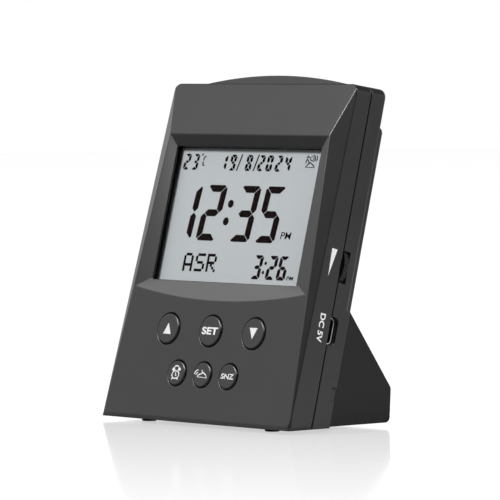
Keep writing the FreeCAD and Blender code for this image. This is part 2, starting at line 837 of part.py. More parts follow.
def board_components():
    """Chips, crystal, capacitors and thermistor on the rear face of the board."""
    back = -D["board_front"] - D["board_thickness"]
    half = D["controller_size"] / 2
    middle = D["controller_height"]
    chip_back = back - D["controller_thickness"]
    controller = slab("chip", -half, half, middle - half, middle + half, chip_back, back)
    keep(controller, "controller_chip", CASE)
    width = D["memory_width"] / 2
    length = D["memory_length"] / 2
    middle = D["memory_height"]
    x = -D["memory_x"]
    back_face = back - D["memory_thickness"]
    memory = slab("memory", x - width, x + width, middle - length, middle + length, back_face, back)
    keep(memory, "memory_chip", CASE)
    width = D["crystal_width"]
    length = D["crystal_length"] / 2
    middle = D["crystal_height"]
    x = D["crystal_x"] - width / 2
    crystal = slab("crystal", x, x + width, middle - length, middle + length, back - width, back)
    keep(crystal, "clock_crystal", CASE)
    radius = D["capacitor_radius"]
    length = D["capacitor_length"]
    can = revolve("capacitor", [(0.0, 0.0), (radius, 0.0), (radius, length), (0.0, length)])
    row = [(column - 1) * mm("capacitor_pitch") - mm("capacitor_x") for column in range(3)]
    places = [shift(x, mm("capacitor_height"), BOARD_BACK - number(length)) for x in row]
    group("capacitors", "capacitors", can, places, CASE)
    width = D["thermistor_width"]
    x = -D["thermistor_x"] - width / 2
    low = D["thermistor_height"] - width / 4
    back_face = back - D["thermistor_thickness"]
    bead = slab("bead", x, x + width, low, low + width / 2, back_face, back)
    keep(bead, "thermistor", CASE)


def switch_body(name, width, height):
    """A square push switch with a round well for its plunger, standing on z = 0."""
    body = new_body(name)
    base = new_sketch(body, "XY_Plane", name + "_base")
    draw_rectangle(base, -width / 2, width / 2, -width / 2, width / 2)
    pad(body, base, height, name + "_pad")
    well = new_sketch(body, "XY_Plane", name + "_well", height)
    draw_circle(well, (0.0, 0.0), D["plunger_radius"] + D["plunger_clearance"])
    depth = D["plunger_hidden"] + D["key_travel"] + D["plunger_clearance"]
    pocket(body, well, depth, name + "_bore", False)
    return body


def plunger(name, reach, hidden):
    """The round pin of a switch, from inside its well to the piece that pushes it."""
    radius = D["plunger_radius"]
    return revolve(name, [(0.0, -hidden), (radius, -hidden), (radius, reach), (0.0, reach)])


def keys():
    """Six keys, each a cap with a flange behind the panel and a post that meets its plunger."""
    switch_top = BOARD_FRONT + mm("switch_height")
    post_end = D["switch_height"] + D["plunger_proud"] - D["board_front"]
    edge = D["key_edge_radius"]
    switch = switch_body("switch", D["switch_width"], D["switch_height"])
    group("switches", "key_switches", switch, [shift(x, y, BOARD_FRONT) for _, _, x, y in KEYS], CASE)
    for name, size, x, y in KEYS:
        radius = D[size + "_key_radius"]
        flange_radius = radius + D["key_flange"]
        flange_front = -D["wall"] - D["key_flange_gap"]
        flange_back = flange_front - D["key_flange_thickness"]
        post = D["key_post_radius"]
        cap = revolve(name + "_cap", [
            (0.0, post_end),
            (post, post_end),
            (post, flange_back),
            (flange_radius, flange_back),
            (flange_radius, flange_front),
            (radius, flange_front),
            (radius, D["key_proud"] - edge),
            (radius - edge * 0.3, D["key_proud"] - edge * 0.3),
            (radius - edge, D["key_proud"]),
            (0.0, D["key_proud"]),
        ])
        keep(cap, name + "_button", CASE.multiply(shift(x, y, 0)))
        pin_body = plunger(name + "_pin", D["plunger_proud"], D["plunger_hidden"])
        keep(pin_body, name + "_plunger", CASE.multiply(shift(x, y, switch_top)))


# ---------------------------------------------------------------- light bar

def light_bar():
    """Arched push bar with a flange that keeps it in the case and a post over its switch."""
    half = mm("bar_half_length")
    front = -mm("bar_front")
    end_top = BAR_APEX - mm("bar_arc_radius") + math.sqrt(mm("bar_arc_radius") ** 2 - half ** 2)
    flange_low = BAR_FLANGE_TOP - mm("bar_flange_height")
    corners = [Vector(-half, flange_low, front), Vector(half, flange_low, front)]
    crown = Part.Arc(Vector(half, end_top, front), Vector(0, BAR_APEX, front), Vector(-half, end_top, front))
    wire = Part.Wire([
        Part.makeLine(corners[0], corners[1]),
        Part.makeLine(corners[1], Vector(half, end_top, front)),
        crown.toShape(),
        Part.makeLine(Vector(-half, end_top, front), corners[0]),
    ])
    shape = Part.Face(wire).extrude(Vector(0, 0, -mm("bar_thickness")))
    over = mm("bar_flange")
    flange = block(-half - over, half + over, flange_low, BAR_FLANGE_TOP, BAR_BACK - over, front + over)
    post_low = bar_switch_top() + mm("plunger_proud") + mm("bar_travel")
    post_half = mm("plunger_radius")
    z = bar_switch_z()
    post = block(-post_half, post_half, post_low, flange_low, z - post_half / 2, z + post_half)
    node = doc.addObject("Part::Feature", "light_bar")
    node.Shape = shape.fuse([flange, post]).removeSplitter()
    keep(node, "light_bar", CASE)


def bar_switch_top():
    return mm("board_top") + mm("bar_switch_reach")


def bar_switch_z():
    return BOARD_BACK - mm("bar_switch_depth") / 2


def bar_switch():
    """Side-acting switch on the top edge of the board, with its plunger pointing up."""
    top = bar_switch_top()
    z = bar_switch_z()
    half = mm("switch_width") / 2
    depth = mm("bar_switch_depth")
    body = block(-half, half, top - mm("bar_switch_height"), top, z - depth / 2, z + depth / 2)
    upward = Vector(0, 1, 0)
    radius = mm("plunger_radius") - mm("plunger_clearance")
    well_low = top - mm("plunger_hidden") - mm("bar_travel") - mm("plunger_clearance")
    bore = radius + mm("plunger_clearance")
    well = Part.makeCylinder(bore, top - well_low + 1, Vector(0, well_low, z), upward)
    node = doc.addObject("Part::Feature", "bar_switch")
    node.Shape = body.cut(well)
    keep(node, "bar_switch", CASE)
    low = top - mm("plunger_hidden")
    high = top + mm("plunger_proud") + mm("bar_travel")
    pin_node = doc.addObject("Part::Feature", "bar_pin")
    pin_node.Shape = Part.makeCylinder(radius, high - low, Vector(0, low, z), upward)
    keep(pin_node, "bar_plunger", CASE)


# ---------------------------------------------------------------- volume wheel

def volume_wheel():
    """Knurled disc on the axle of the volume control."""
    body = new_body("wheel")
    outline = new_sketch(body, "XY_Plane", "wheel_outline")
    draw_circle(outline, (0.0, 0.0), D["wheel_radius"])
    draw_circle(outline, (0.0, 0.0), D["axle_radius"] + D["axle_clearance"])
    pad(body, outline, D["wheel_thickness"], "wheel_pad")
    tooth = new_sketch(body, "XY_Plane", "wheel_groove", D["wheel_thickness"])
    depth = D["wheel_tooth_depth"]
    rim = D["wheel_radius"]
    draw_polygon(tooth, [(rim - depth, 0.0), (rim + depth, -depth), (rim + depth, depth)])
    groove = pocket(body, tooth, D["wheel_thickness"], "wheel_tooth", False)
    pattern = body.newObject("PartDesign::PolarPattern", "wheel_teeth")
    pattern.Originals = [groove]
    pattern.Axis = (outline, ["N_Axis"])
    pattern.Angle = 360
    pattern.setExpression("Occurrences", D["wheel_teeth"].formula)
    body.Tip = pattern
    doc.recompute()
    keep(body, "volume_wheel", CASE.multiply(shift(WHEEL_X, mm("wheel_height"), WHEEL_BACK)))


def volume_pot():
    """Base plate on the board, axle through the wheel, and the rivet head that holds the wheel."""
    base = D["pot_base_thickness"]
    axle = D["axle_radius"]
    neck = D["wheel_depth"] - D["board_front"] - D["board_thickness"] + D["wheel_thickness"] + D["rivet_gap"]
    end = neck + D["rivet_thickness"]
    body = revolve("pot", [
        (0.0, 0.0),
        (D["pot_base_radius"], 0.0),
        (D["pot_base_radius"], -base),
        (axle, -base),
        (axle, -neck),
        (D["rivet_radius"], -neck),
        (D["rivet_radius"], -end),
        (0.0, -end),
    ])
    keep(body, "volume_pot", CASE.multiply(shift(WHEEL_X, mm("wheel_height"), BOARD_BACK)))


# ---------------------------------------------------------------- power socket

def power_socket():
    """Flattened metal tube with a closed back, and the contact tongue inside it."""
    half = mm("socket_length") / 2
    thick = mm("socket_thickness")
    inner = SOCKET_MOUTH - mm("socket_reach")
    y = mm("socket_height")
    shell = rounded_bar(inner, SOCKET_MOUTH, y, SOCKET_Z, half, thick / 2)
    wall = mm("socket_wall")
    bore = rounded_bar(inner + wall, SOCKET_MOUTH + 1, y, SOCKET_Z, half - wall, thick / 2 - wall)
    node = doc.addObject("Part::Feature", "usb_socket")
    node.Shape = shell.cut(bore)
    keep(node, "usb_socket", CASE)
    tongue_half = mm("tongue_length") / 2
    tip = SOCKET_MOUTH - mm("tongue_recess")
    z = SOCKET_Z - mm("tongue_thickness") / 2
    tongue = doc.addObject("Part::Feature", "usb_tongue")
    tongue.Shape = block(inner + wall, tip, y - tongue_half, y + tongue_half, z, z + mm("tongue_thickness"))
    keep(tongue, "usb_tongue", CASE)


def rounded_bar(left, right, y, z, half, half_thick):
    """A bar along x with a flattened, round-ended section."""
    bar = block(left, right, y - half, y + half, z - half_thick, z + half_thick)
    long_edges = [edge for edge in bar.Edges if edge.BoundBox.XLength > 1e-6]
    return bar.makeFillet(half_thick * 0.98, long_edges)


# ---------------------------------------------------------------- loudspeaker

def loudspeaker():
    """Basket, cone and magnet, facing the grille."""
    radius = D["speaker_radius"]
    rim = D["speaker_flange"]
    depth = D["speaker_depth"]
    magnet = D["magnet_radius"]
    skin = D["cone_thickness"]
    place = CASE.multiply(shift(0, mm("speaker_height"), PLATEAU + mm("wall")))
    frame = revolve("basket", [
        (radius - 2.2, 0.0),
        (radius, 0.0),
        (radius, rim),
        (magnet + 2.0, depth),
        (0.0, depth),
        (0.0, depth - skin * 1.6),
        (magnet + 1.4, depth - skin * 1.6),
        (radius - 2.2, rim - skin * 0.6),
    ])
    keep(frame, "speaker_frame", place)
    cone = revolve("cone", [
        (0.0, 1.4),
        (4.0, 1.9),
        (radius - 3.0, 0.35),
        (radius - 2.2, 0.0),
        (radius - 2.2, rim - skin * 0.6),
        (4.0, 1.9 + skin),
        (0.0, 1.4 + skin),
    ])
    keep(cone, "speaker_cone", place)
    top = depth + D["magnet_thickness"]
    disc_body = revolve("magnet", [(0.0, depth), (magnet, depth), (magnet, top), (0.0, top)])
    keep(disc_body, "speaker_magnet", place)


# ---------------------------------------------------------------- screws

def screw(name, radius, length, head_radius, head):
    """Pan head screw with its head behind z = 0 and its shank in front, and a cross recess."""
    body = revolve(name, [
        (0.0, -head),
        (head_radius * 0.75, -head),
        (head_radius, -head * 0.5),
        (head_radius, 0.0),
        (radius, 0.0),
        (radius, length - radius),
        (0.2, length),
        (0.0, length),
    ])
    arm = head_radius * 0.55
    half = head_radius * 0.13
    cross = new_sketch(body, "XY_Plane", name + "_cross", -head)
    draw_polygon(cross, [
        (-arm, -half), (-half, -half), (-half, -arm), (half, -arm), (half, -half), (arm, -half),
        (arm, half), (half, half), (half, arm), (-half, arm), (-half, half), (-arm, half),
    ])
    pocket(body, cross, head * 0.6, name + "_recess", True)
    return body


def fasteners():
    """Case screws, board screws and foot screws, each kind in one node."""
    radius = D["screw_radius"]
    case = screw("case_screw", radius, D["case_screw_length"], D["screw_head_radius"], D["screw_head"])
    group("case_set", "case_screws", case, [shift(x, y, screw_seat()) for x, y in CASE_SCREWS], CASE)
    radius = D["board_screw_radius"]
    head_radius = D["board_screw_head_radius"]
    head = D["board_screw_head"]
    small = screw("board_screw", radius, D["board_screw_length"], head_radius, head)
    group("board_set", "board_screws", small, [shift(x, y, BOARD_BACK) for x, y in BOARD_SCREWS], CASE)
    length = D["stand_screw_length"]
    stand = screw("stand_screw", D["screw_radius"], length, D["screw_head_radius"], D["screw_head"])
    seat = PLATEAU - mm("foot_wall")
    group("stand_set", "stand_screws", stand, [shift(x, y, seat) for x, y in STAND_SCREWS], CASE)


# ---------------------------------------------------------------- foot

def plateau_back(z):
    """How far back the plateau lies at height z in the foot frame."""
    return -PLATEAU / math.cos(LEAN) + z * FLOOR_SLOPE


def foot_profile():
    """Side view of the wedge, from the front bottom corner round to the top."""
    top = mm("foot_top_height")
    return [
        Vector(0, plateau_back(0), 0),
        Vector(0, mm("foot_back"), 0),
        Vector(0, mm("foot_heel_back"), mm("foot_heel_height")),
        Vector(0, plateau_back(top), top),
    ]


def slope_frame():
    """Frame on the sloping back: origin at its top, y down the slope and z out of it."""
    profile = foot_profile()
    down = (profile[2] - profile[3]).normalize()
    angle = math.degrees(math.atan2(down.z, down.y))
    return Placement(profile[3], Rotation(Vector(1, 0, 0), angle))


def profile_prism(points, half):
    corners = [point + Vector(-half, 0, 0) for point in points]
    return Part.Face(Part.makePolygon(corners + corners[:1])).extrude(Vector(2 * half, 0, 0))


def inner_profile(inset):
    """The side view moved inwards by the wall thickness."""
    wire = Part.makePolygon(foot_profile() + foot_profile()[:1])
    return wire.makeOffset2D(-inset, join=2)


def stand_housing():
    """Hollow wedge with a battery space, cell walls, a rebate for the door and screw holes."""
    half = mm("foot_width") / 2
    wall = mm("foot_wall")
    shape = profile_prism(foot_profile(), half)
    heel = [edge for edge in shape.Edges if is_heel_edge(edge)]
    shape = shape.makeFillet(mm("foot_corner_radius"), heel)
    inner = Part.Face(inner_profile(wall))
    cavity = inner.extrude(Vector(2 * (half - wall), 0, 0))
    cavity.translate(Vector(wall - half, 0, 0))
    shape = shape.cut(cavity)
    for left in (cell_left() - mm("spring_reach") - mm("cell_wall"), cell_right() + mm("contact_thickness")):
        rib = inner.extrude(Vector(mm("cell_wall"), 0, 0))
        rib.translate(Vector(left, 0, 0))
        shape = shape.fuse(rib)
    shape = shape.cut([door_room(), door_opening()])
    for x, y in STAND_SCREWS:
        hole = disc(x, y, PLATEAU - 2 * wall, PLATEAU + 1, mm("screw_radius") + 0.2)
        shape = shape.cut(to_foot(hole))
    shape = shape.cut(to_foot(lead_hole()))
    node = doc.addObject("Part::Feature", "stand_housing")
    node.Shape = shape.removeSplitter()
    keep(node, "stand_housing", FOOT)


def is_heel_edge(edge):
    """True for the long edges at the rear of the wedge."""
    box = edge.BoundBox
    return box.XLength > mm("foot_width") / 2 and box.YMin > mm("foot_back") - 1e-6


def to_foot(shape):
    """Turns a shape of the case frame into the foot frame."""
    copy = shape.copy()
    copy.Placement = Placement(Vector(), CASE.Rotation).multiply(shape.Placement)
    return copy


def on_slope(shape):
    copy = shape.copy()
    copy.Placement = slope_frame().multiply(shape.Placement)
    return copy


def door_room():
    """The rebate that the battery door lies in."""
    gap = mm("door_clearance")
    half = mm("door_width") / 2 + gap
    start = mm("door_start") - gap
    end = mm("door_start") + mm("door_length") + gap
    return on_slope(block(-half, half, start, end, -mm("door_thickness"), 1))


def door_opening():
    """The hole under the door, smaller by the ledge that carries the door."""
    ledge = mm("door_ledge")
    half = mm("door_width") / 2 - ledge
    start = mm("door_start") + ledge
    end = mm("door_start") + mm("door_length") - ledge
    return on_slope(block(-half, half, start, end, -mm("foot_wall") - 0.5, 0))


def battery_door():
    """Flat cover of the battery space with a finger recess near its upper edge."""
    width = D["door_width"]
    start = D["door_start"]
    thickness = D["door_thickness"]
    underside = -thickness + 0.05
    body = slab("door", -width / 2, width / 2, start, start + D["door_length"], underside, 0.0)
    grip = new_sketch(body, "XY_Plane", "door_grip")
    radius = D["door_grip_radius"]
    draw_rectangle(grip, -radius, radius, start + 2.0, start + 2.0 + 2.6)
    pocket(body, grip, D["door_grip_depth"], "door_recess", False)
    keep(body, "battery_door", FOOT.multiply(slope_frame()))


# ---------------------------------------------------------------- cells and contacts

def cell_left():
    return -(mm("cell_length") + mm("cell_nub_length")) / 2


def cell_right():
    return (mm("cell_length") + mm("cell_nub_length")) / 2


def cell_places():
    """Centres of the three cells in the side view, two below and one above."""
    return [
        (mm("low_cell_front"), mm("low_cell_height")),
        (mm("low_cell_back"), mm("low_cell_height")),
        (mm("high_cell_back"), mm("high_cell_height")),
    ]


def battery_parts():
    """Three cells in a triangle, flat plates at one end and bent leaf springs at the other."""
    radius = D["cell_radius"]
    length = D["cell_length"]
    nub = D["cell_nub_radius"]
    end = length + D["cell_nub_length"]
    cell = revolve("cell", [
        (0.0, 0.0),
        (radius - 0.4, 0.0),
        (radius, 0.4),
        (radius, length - 0.4),
        (radius - 0.4, length),
        (nub, length),
        (nub, end),
        (0.0, end),
    ])
    sideways = Rotation(Vector(0, 1, 0), 90)
    places = [Placement(Vector(cell_left(), y, z), sideways) for y, z in cell_places()]
    group("cells", "battery_cells", cell, places, FOOT)

    width = D["contact_width"]
    thick = D["contact_thickness"]
    plate = slab("plate", -width / 2, width / 2, -width / 2, width / 2, 0.0, thick)
    places = [Placement(Vector(cell_right(), y, z), sideways) for y, z in cell_places()]
    group("plates", "battery_plates", plate, places, FOOT)

    leaf = new_body("leaf")
    bend = new_sketch(leaf, "XZ_Plane", "leaf_side", -width / 4)
    reach = D["spring_reach"]
    low = -width / 2
    draw_polygon(bend, [
        (0.0, low),
        (reach, 0.2),
        (reach, 1.2),
        (thick, low + thick * 2),
        (thick, -low),
        (0.0, -low),
    ])
    pad(leaf, bend, width / 2, "leaf_pad")
    places = [shift(cell_left() - mm("spring_reach"), y, z) for y, z in cell_places()]
    group("springs", "battery_springs", leaf, places, FOOT)


# ---------------------------------------------------------------- wires

def lead_pair(name, label, routes):
    """Thin insulated wires, each a tube along its own points."""
    radius = mm("lead_radius")
    tubes = []
    for route in routes:
        points = [Vector(*point) for point in route]
        path = Part.makePolygon(points)
        ring = Part.Wire(Part.makeCircle(radius, points[0], points[1] - points[0]))
        tubes.append(path.makePipeShell([ring], True, False, 2))
    node = doc.addObject("Part::Feature", name)
    node.Shape = Part.makeCompound(tubes)
    keep(node, label, CASE)


def leads():
    """Battery wires through the hole in the plateau, and wires from the board to the loudspeaker."""
    on_board = BOARD_BACK - mm("lead_radius")
    in_foot = PLATEAU - mm("foot_wall") - 1.15 * mm("lead_radius")
    y = mm("stand_screw_height")
    pitch = mm("lead_spacing") / 2
    right_end = cell_right() - 1.1 * mm("lead_radius")
    left_end = cell_left() - 1.5 * mm("lead_radius")
    battery = []
    for side, end in ((1, right_end), (-1, left_end)):
        battery.append([
            (side * pitch, y + 4.5, on_board),
            (side * pitch, y, on_board - 2.4),
            (side * pitch, y, in_foot),
            (end, y + 1.0, in_foot),
            (end, y + 1.6, in_foot - 1.5),
        ])
    lead_pair("battery_wires", "battery_leads", battery)
    height = mm("speaker_height")
    rim = PLATEAU + mm("wall") + mm("speaker_flange") + mm("lead_radius")
    seat = mm("speaker_radius") - mm("lead_radius")
    speaker = []
    for index, angle in enumerate((-52.0, -46.0)):
        x = seat * math.cos(math.radians(angle))
        y = height + seat * math.sin(math.radians(angle))
        lower = height - 20.0
        across = 17.0 + index * mm("lead_spacing")
        speaker.append([
            (x, y, rim),
            (x, y, rim + 1.6),
            (across, lower, on_board - 1.2),
            (across, lower - 2, on_board),
        ])
    lead_pair("speaker_wires", "speaker_leads", speaker)


# ---------------------------------------------------------------- pads

def foot_pads():
    """Four round rubber pads, two under the front edge and two under the wedge."""
    for row in ("front", "rear"):
        radius = D["pad_radius"]
        edge = 0.3
        body = revolve(row + "_pad", [
            (0.0, -D["pad_thickness"]),
            (radius - edge, -D["pad_thickness"]),
            (radius, -D["pad_thickness"] + edge),
            (radius, 0.0),
            (0.0, 0.0),
        ])
        places = [shift(side * mm(row + "_pad_x"), mm(row + "_pad_back"), 0) for side in (-1, 1)]
        group(row + "_pads", row + "_foot_pads", body, places, FOOT)


# ---------------------------------------------------------------- build and write

front_shell()
rear_shell()
display_parts()
main_board()
board_components()
keys()
light_bar()
bar_switch()
volume_wheel()
volume_pot()
power_socket()
loudspeaker()
fasteners()
stand_housing()
battery_door()
battery_parts()
leads()
foot_pads()
doc.recompute()

for item in doc.Objects:
    if "Invalid" in item.State or "Error" in item.State:
        raise RuntimeError("failed object: %s %s" % (item.Name, item.State))
for node in exported:
    if node.Shape.isNull() or not node.Shape.isValid():
        raise RuntimeError("bad shape: %s" % node.Label)

os.makedirs("parts", exist_ok=True)
for node in exported:
    node.Shape.exportStep("parts/%s.step" % node.Label)
    print("%-18s solids %d volume %.1f" % (node.Label, len(node.Shape.Solids), node.Shape.Volume))
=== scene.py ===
import math

import bpy
from mathutils import Matrix, Vector


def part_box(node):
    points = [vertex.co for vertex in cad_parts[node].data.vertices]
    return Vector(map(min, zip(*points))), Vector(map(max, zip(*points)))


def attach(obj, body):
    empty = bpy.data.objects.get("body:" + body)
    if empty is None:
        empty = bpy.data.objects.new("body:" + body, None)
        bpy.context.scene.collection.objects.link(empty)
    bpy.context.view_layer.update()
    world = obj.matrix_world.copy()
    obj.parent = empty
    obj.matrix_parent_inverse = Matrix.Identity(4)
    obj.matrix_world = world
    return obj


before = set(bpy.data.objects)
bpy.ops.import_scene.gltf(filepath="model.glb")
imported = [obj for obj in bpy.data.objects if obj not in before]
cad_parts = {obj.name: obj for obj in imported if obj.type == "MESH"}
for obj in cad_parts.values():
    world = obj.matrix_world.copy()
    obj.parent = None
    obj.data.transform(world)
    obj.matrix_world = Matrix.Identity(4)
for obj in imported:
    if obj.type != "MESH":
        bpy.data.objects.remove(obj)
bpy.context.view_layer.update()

# ------------------------------------------------------------------ the leaning case frame
# The case leans back on its foot. Its own frame has x to the right, y up the front panel from the
# bottom front edge, and z out of the panel; every print and sign is laid out in that frame.
MM = 0.001
LEAN = math.radians(14.6)
shell_low, shell_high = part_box("front_shell")
FRONT_EDGE = Vector(((shell_low.x + shell_high.x) / 2, shell_low.y, shell_low.z))
CASE = Matrix.Translation(FRONT_EDGE) @ Matrix.Rotation(math.pi / 2 - LEAN, 4, "X")


def span(node):
    """Lowest and highest corner of a solid in the case frame, in millimetres."""
    to_case = CASE.inverted()
    points = [to_case @ vertex.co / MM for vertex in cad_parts[node].data.vertices]
    low = Vector([min(point[axis] for point in points) for axis in range(3)])
    high = Vector([max(point[axis] for point in points) for axis in range(3)])
    return low, high


# ------------------------------------------------------------------ camera
# Seen from the right front, almost level, through a long lens. The aim is given in the camera's
# own right and up directions, measured from the bottom front edge.
VIEW_TURN = math.radians(47.103)
VIEW_DROP = math.radians(2.296)
VIEW_DISTANCE = 1488.594 * MM
AIM_RIGHT = 19.176 * MM
AIM_UP = 58.695 * MM
LENS = 316.295
SENSOR = 36.0

turn = Matrix.Rotation(VIEW_TURN, 3, "Z") @ Matrix.Rotation(math.pi / 2 - VIEW_DROP, 3, "X")
aim = turn @ Vector((AIM_RIGHT, AIM_UP, VIEW_DISTANCE))
bpy.ops.object.camera_add(location=FRONT_EDGE + aim, rotation=turn.to_euler())
camera = bpy.context.object
camera.data.lens = LENS
camera.data.sensor_width = SENSOR
camera.data.sensor_fit = "HORIZONTAL"
camera.data.clip_end = 10
bpy.context.scene.camera = camera


# ------------------------------------------------------------------ front and rear shell
# Two halves of one matt black moulding. Each is injection moulded in a finely eroded tool, which
# leaves an even satin grain on the flats and slightly smoother, softened edges.
def new_material(name, colour, roughness, metallic=0.0):
    """A material with one glossy shader, its node tree and the coordinates of the piece."""
    made = bpy.data.materials.new(name)
    made.use_nodes = True
    made.diffuse_color = (*colour, 1)
    tree = made.node_tree
    shader = tree.nodes["Principled BSDF"]
    shader.inputs["Base Color"].default_value = (*colour, 1)
    shader.inputs["Roughness"].default_value = roughness
    shader.inputs["Metallic"].default_value = metallic
    place = tree.nodes.new("ShaderNodeTexCoord").outputs["Object"]
    return made, tree, shader, place


def add_noise(tree, place, size, detail=2.0):
    """Even noise whose cells have the given size in millimetres."""
    noise = tree.nodes.new("ShaderNodeTexNoise")
    noise.inputs["Scale"].default_value = 1 / (size * MM)
    noise.inputs["Detail"].default_value = detail
    tree.links.new(place, noise.inputs["Vector"])
    return noise.outputs["Fac"]


NOISE_LOW = 0.3
NOISE_HIGH = 0.7


def spread(tree, value, low, high):
    """Maps the usual range of a noise value to the range from low to high."""
    return between(tree, value, NOISE_LOW, NOISE_HIGH, low, high, False)


def mix_colours(tree, factor, first, second):
    """Goes from the first colour to the second with a node's value."""
    blend = tree.nodes.new("ShaderNodeMix")
    blend.data_type = "RGBA"
    blend.inputs["A"].default_value = (*first, 1)
    blend.inputs["B"].default_value = (*second, 1)
    tree.links.new(factor, blend.inputs["Factor"])
    return blend.outputs["Result"]


def along(tree, vector, direction):
    """How far a place or direction reaches along a direction."""
    reach = tree.nodes.new("ShaderNodeVectorMath")
    reach.operation = "DOT_PRODUCT"
    reach.inputs[1].default_value = direction
    tree.links.new(vector, reach.inputs[0])
    return reach.outputs["Value"]


def between(tree, value, start, end, first, last, smooth=True):
    """Goes from one value to another over a range."""
    ramp = tree.nodes.new("ShaderNodeMapRange")
    ramp.interpolation_type = "SMOOTHSTEP" if smooth else "LINEAR"
    ramp.inputs["From Min"].default_value = start
    ramp.inputs["From Max"].default_value = end
    ramp.inputs["To Min"].default_value = first
    ramp.inputs["To Max"].default_value = last
    tree.links.new(value, ramp.inputs["Value"])
    return ramp.outputs["Result"]


def multiply(tree, first, second):
    """The product of two nodes' values."""
    product = tree.nodes.new("ShaderNodeMath")
    product.operation = "MULTIPLY"
    tree.links.new(first, product.inputs[0])
    tree.links.new(second, product.inputs[1])
    return product.outputs["Value"]


def add_bump(tree, shader, height, depth):
    """Relief of the given depth in millimetres."""
    bump = tree.nodes.new("ShaderNodeBump")
    bump.inputs["Strength"].default_value = 1.0
    bump.inputs["Distance"].default_value = depth * MM
    tree.links.new(height, bump.inputs["Height"])
    tree.links.new(bump.outputs["Normal"], shader.inputs["Normal"])


def find_node(tree, kind):
    """The first node of a kind."""
    return next(node for node in tree.nodes if node.bl_idname == kind)


EDGE_SAMPLES = 16


def soften_edges(tree, radius):
    """Makes light run over every edge as over a rounding of this radius in millimetres."""
    rounding = tree.nodes.new("ShaderNodeBevel")
    rounding.samples = EDGE_SAMPLES
    rounding.inputs["Radius"].default_value = radius * MM
    bump = find_node(tree, "ShaderNodeBump")
    tree.links.new(rounding.outputs["Normal"], bump.inputs["Normal"])


FLOW_SIZE = 22.0
FLOW_DARK = 0.90
FLOW_LIGHT = 1.12
FLOW_GLOSS = 0.03


def moulded_plastic(name, colour, roughness, grain, depth, edge=0.0):
    """Moulded plastic: fine eroded grain, faint flow marks in tone and gloss, softened edges."""
    made, tree, shader, place = new_material(name, colour, roughness)
    flow = add_noise(tree, place, FLOW_SIZE)
    lighter = [part * FLOW_LIGHT for part in colour]
    darker = [part * FLOW_DARK for part in colour]
    tree.links.new(mix_colours(tree, flow, darker, lighter), shader.inputs["Base Color"])
    gloss = between(tree, flow, 0, 1, roughness - FLOW_GLOSS, roughness + FLOW_GLOSS, False)
    tree.links.new(gloss, shader.inputs["Roughness"])
    add_bump(tree, shader, add_noise(tree, place, grain, 3.0), depth)
    if edge:
        soften_edges(tree, edge)
    return made


def finish_node(node, material):
    """Gives a solid its finish."""
    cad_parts[node].material_slots[0].material = material


def open_material(material):
    """The node tree of a finished material, its shader and the coordinates of the piece."""
    tree = material.node_tree
    place = find_node(tree, "ShaderNodeTexCoord").outputs["Object"]
    return tree, tree.nodes["Principled BSDF"], place


CASE_COLOUR = (0.014, 0.014, 0.0145)
CASE_ROUGHNESS = 0.31
CASE_GRAIN = 0.28
case_black = moulded_plastic("case_black", CASE_COLOUR, CASE_ROUGHNESS, CASE_GRAIN, 0.004, 0.5)
finish_node("rear_shell", case_black)

# The front half has a fuller rounding along its bottom edge and a polished lip under the display.
PANEL_ROUNDING = 0.6
BOTTOM_ROUNDING = 3.2
BOTTOM_START = 1.3
BOTTOM_END = 6.0
LIP_TOP = 49.3
LIP_LOW = 42.2
LIP_HALF = 37.55
LIP_TIP = (42.2, 46.3)
LIP_SUNK = (0.06, 0.03)
LIP_FADE = 0.1 * MM


def below(tree, place, direction, limit):
    """One where a place reaches less far along a direction than a limit, and nought past it."""
    return between(tree, along(tree, place, direction), limit, limit + LIP_FADE, 1.0, 0.0)


front_black = moulded_plastic(
    "front_black", CASE_COLOUR, CASE_ROUGHNESS, CASE_GRAIN, 0.002, PANEL_ROUNDING
)
tree, shader, place = open_material(front_black)
rounding = find_node(tree, "ShaderNodeBevel")
radius = between(
    tree, along(tree, place, (0, 0, 1)),
    BOTTOM_START * MM, BOTTOM_END * MM, BOTTOM_ROUNDING * MM, PANEL_ROUNDING * MM,
)
tree.links.new(radius, rounding.inputs["Radius"])
up_panel = CASE.to_3x3() @ Vector((0, 1, 0))
out_of_panel = CASE.to_3x3() @ Vector((0, 0, 1))
level = FRONT_EDGE.dot(out_of_panel)
climb = FRONT_EDGE.dot(up_panel)
deep, shallow = [level - depth * MM for depth in LIP_SUNK]
lip = between(tree, along(tree, place, out_of_panel), deep, shallow, 1.0, 0.0)
top = climb + LIP_TOP * MM
lip = multiply(tree, lip, below(tree, place, up_panel, top))
low_end = climb + LIP_LOW * MM
above_low_end = between(tree, along(tree, place, up_panel), low_end - LIP_FADE, low_end, 0.0, 1.0)
lip = multiply(tree, lip, above_low_end)
slope = (LIP_TOP - LIP_TIP[1]) / (LIP_TIP[0] - LIP_HALF)
for side in (-1, 1):
    corner_way = up_panel + Vector((side * slope, 0, 0))
    corner = top + (LIP_HALF * MM + side * FRONT_EDGE.x) * slope
    lip = multiply(tree, lip, below(tree, place, corner_way, corner))
    tip = side * FRONT_EDGE.x + LIP_TIP[0] * MM
    lip = multiply(tree, lip, below(tree, place, (side, 0, 0), tip))
tree.links.new(lip, shader.inputs["Coat Weight"])
shader.inputs["Coat Roughness"].default_value = 0.3
shader.inputs["Coat IOR"].default_value = 1.5
finish_node("front_shell", front_black)


# ------------------------------------------------------------------ push bar
# A long arched key of the same black plastic, captive in the slot of the top edge. It is pressed
# down for the light and for a snooze.
bar_black = moulded_plastic("bar_black", (0.026, 0.026, 0.0265), CASE_ROUGHNESS, CASE_GRAIN, 0.006, 0.4)
finish_node("light_bar", bar_black)


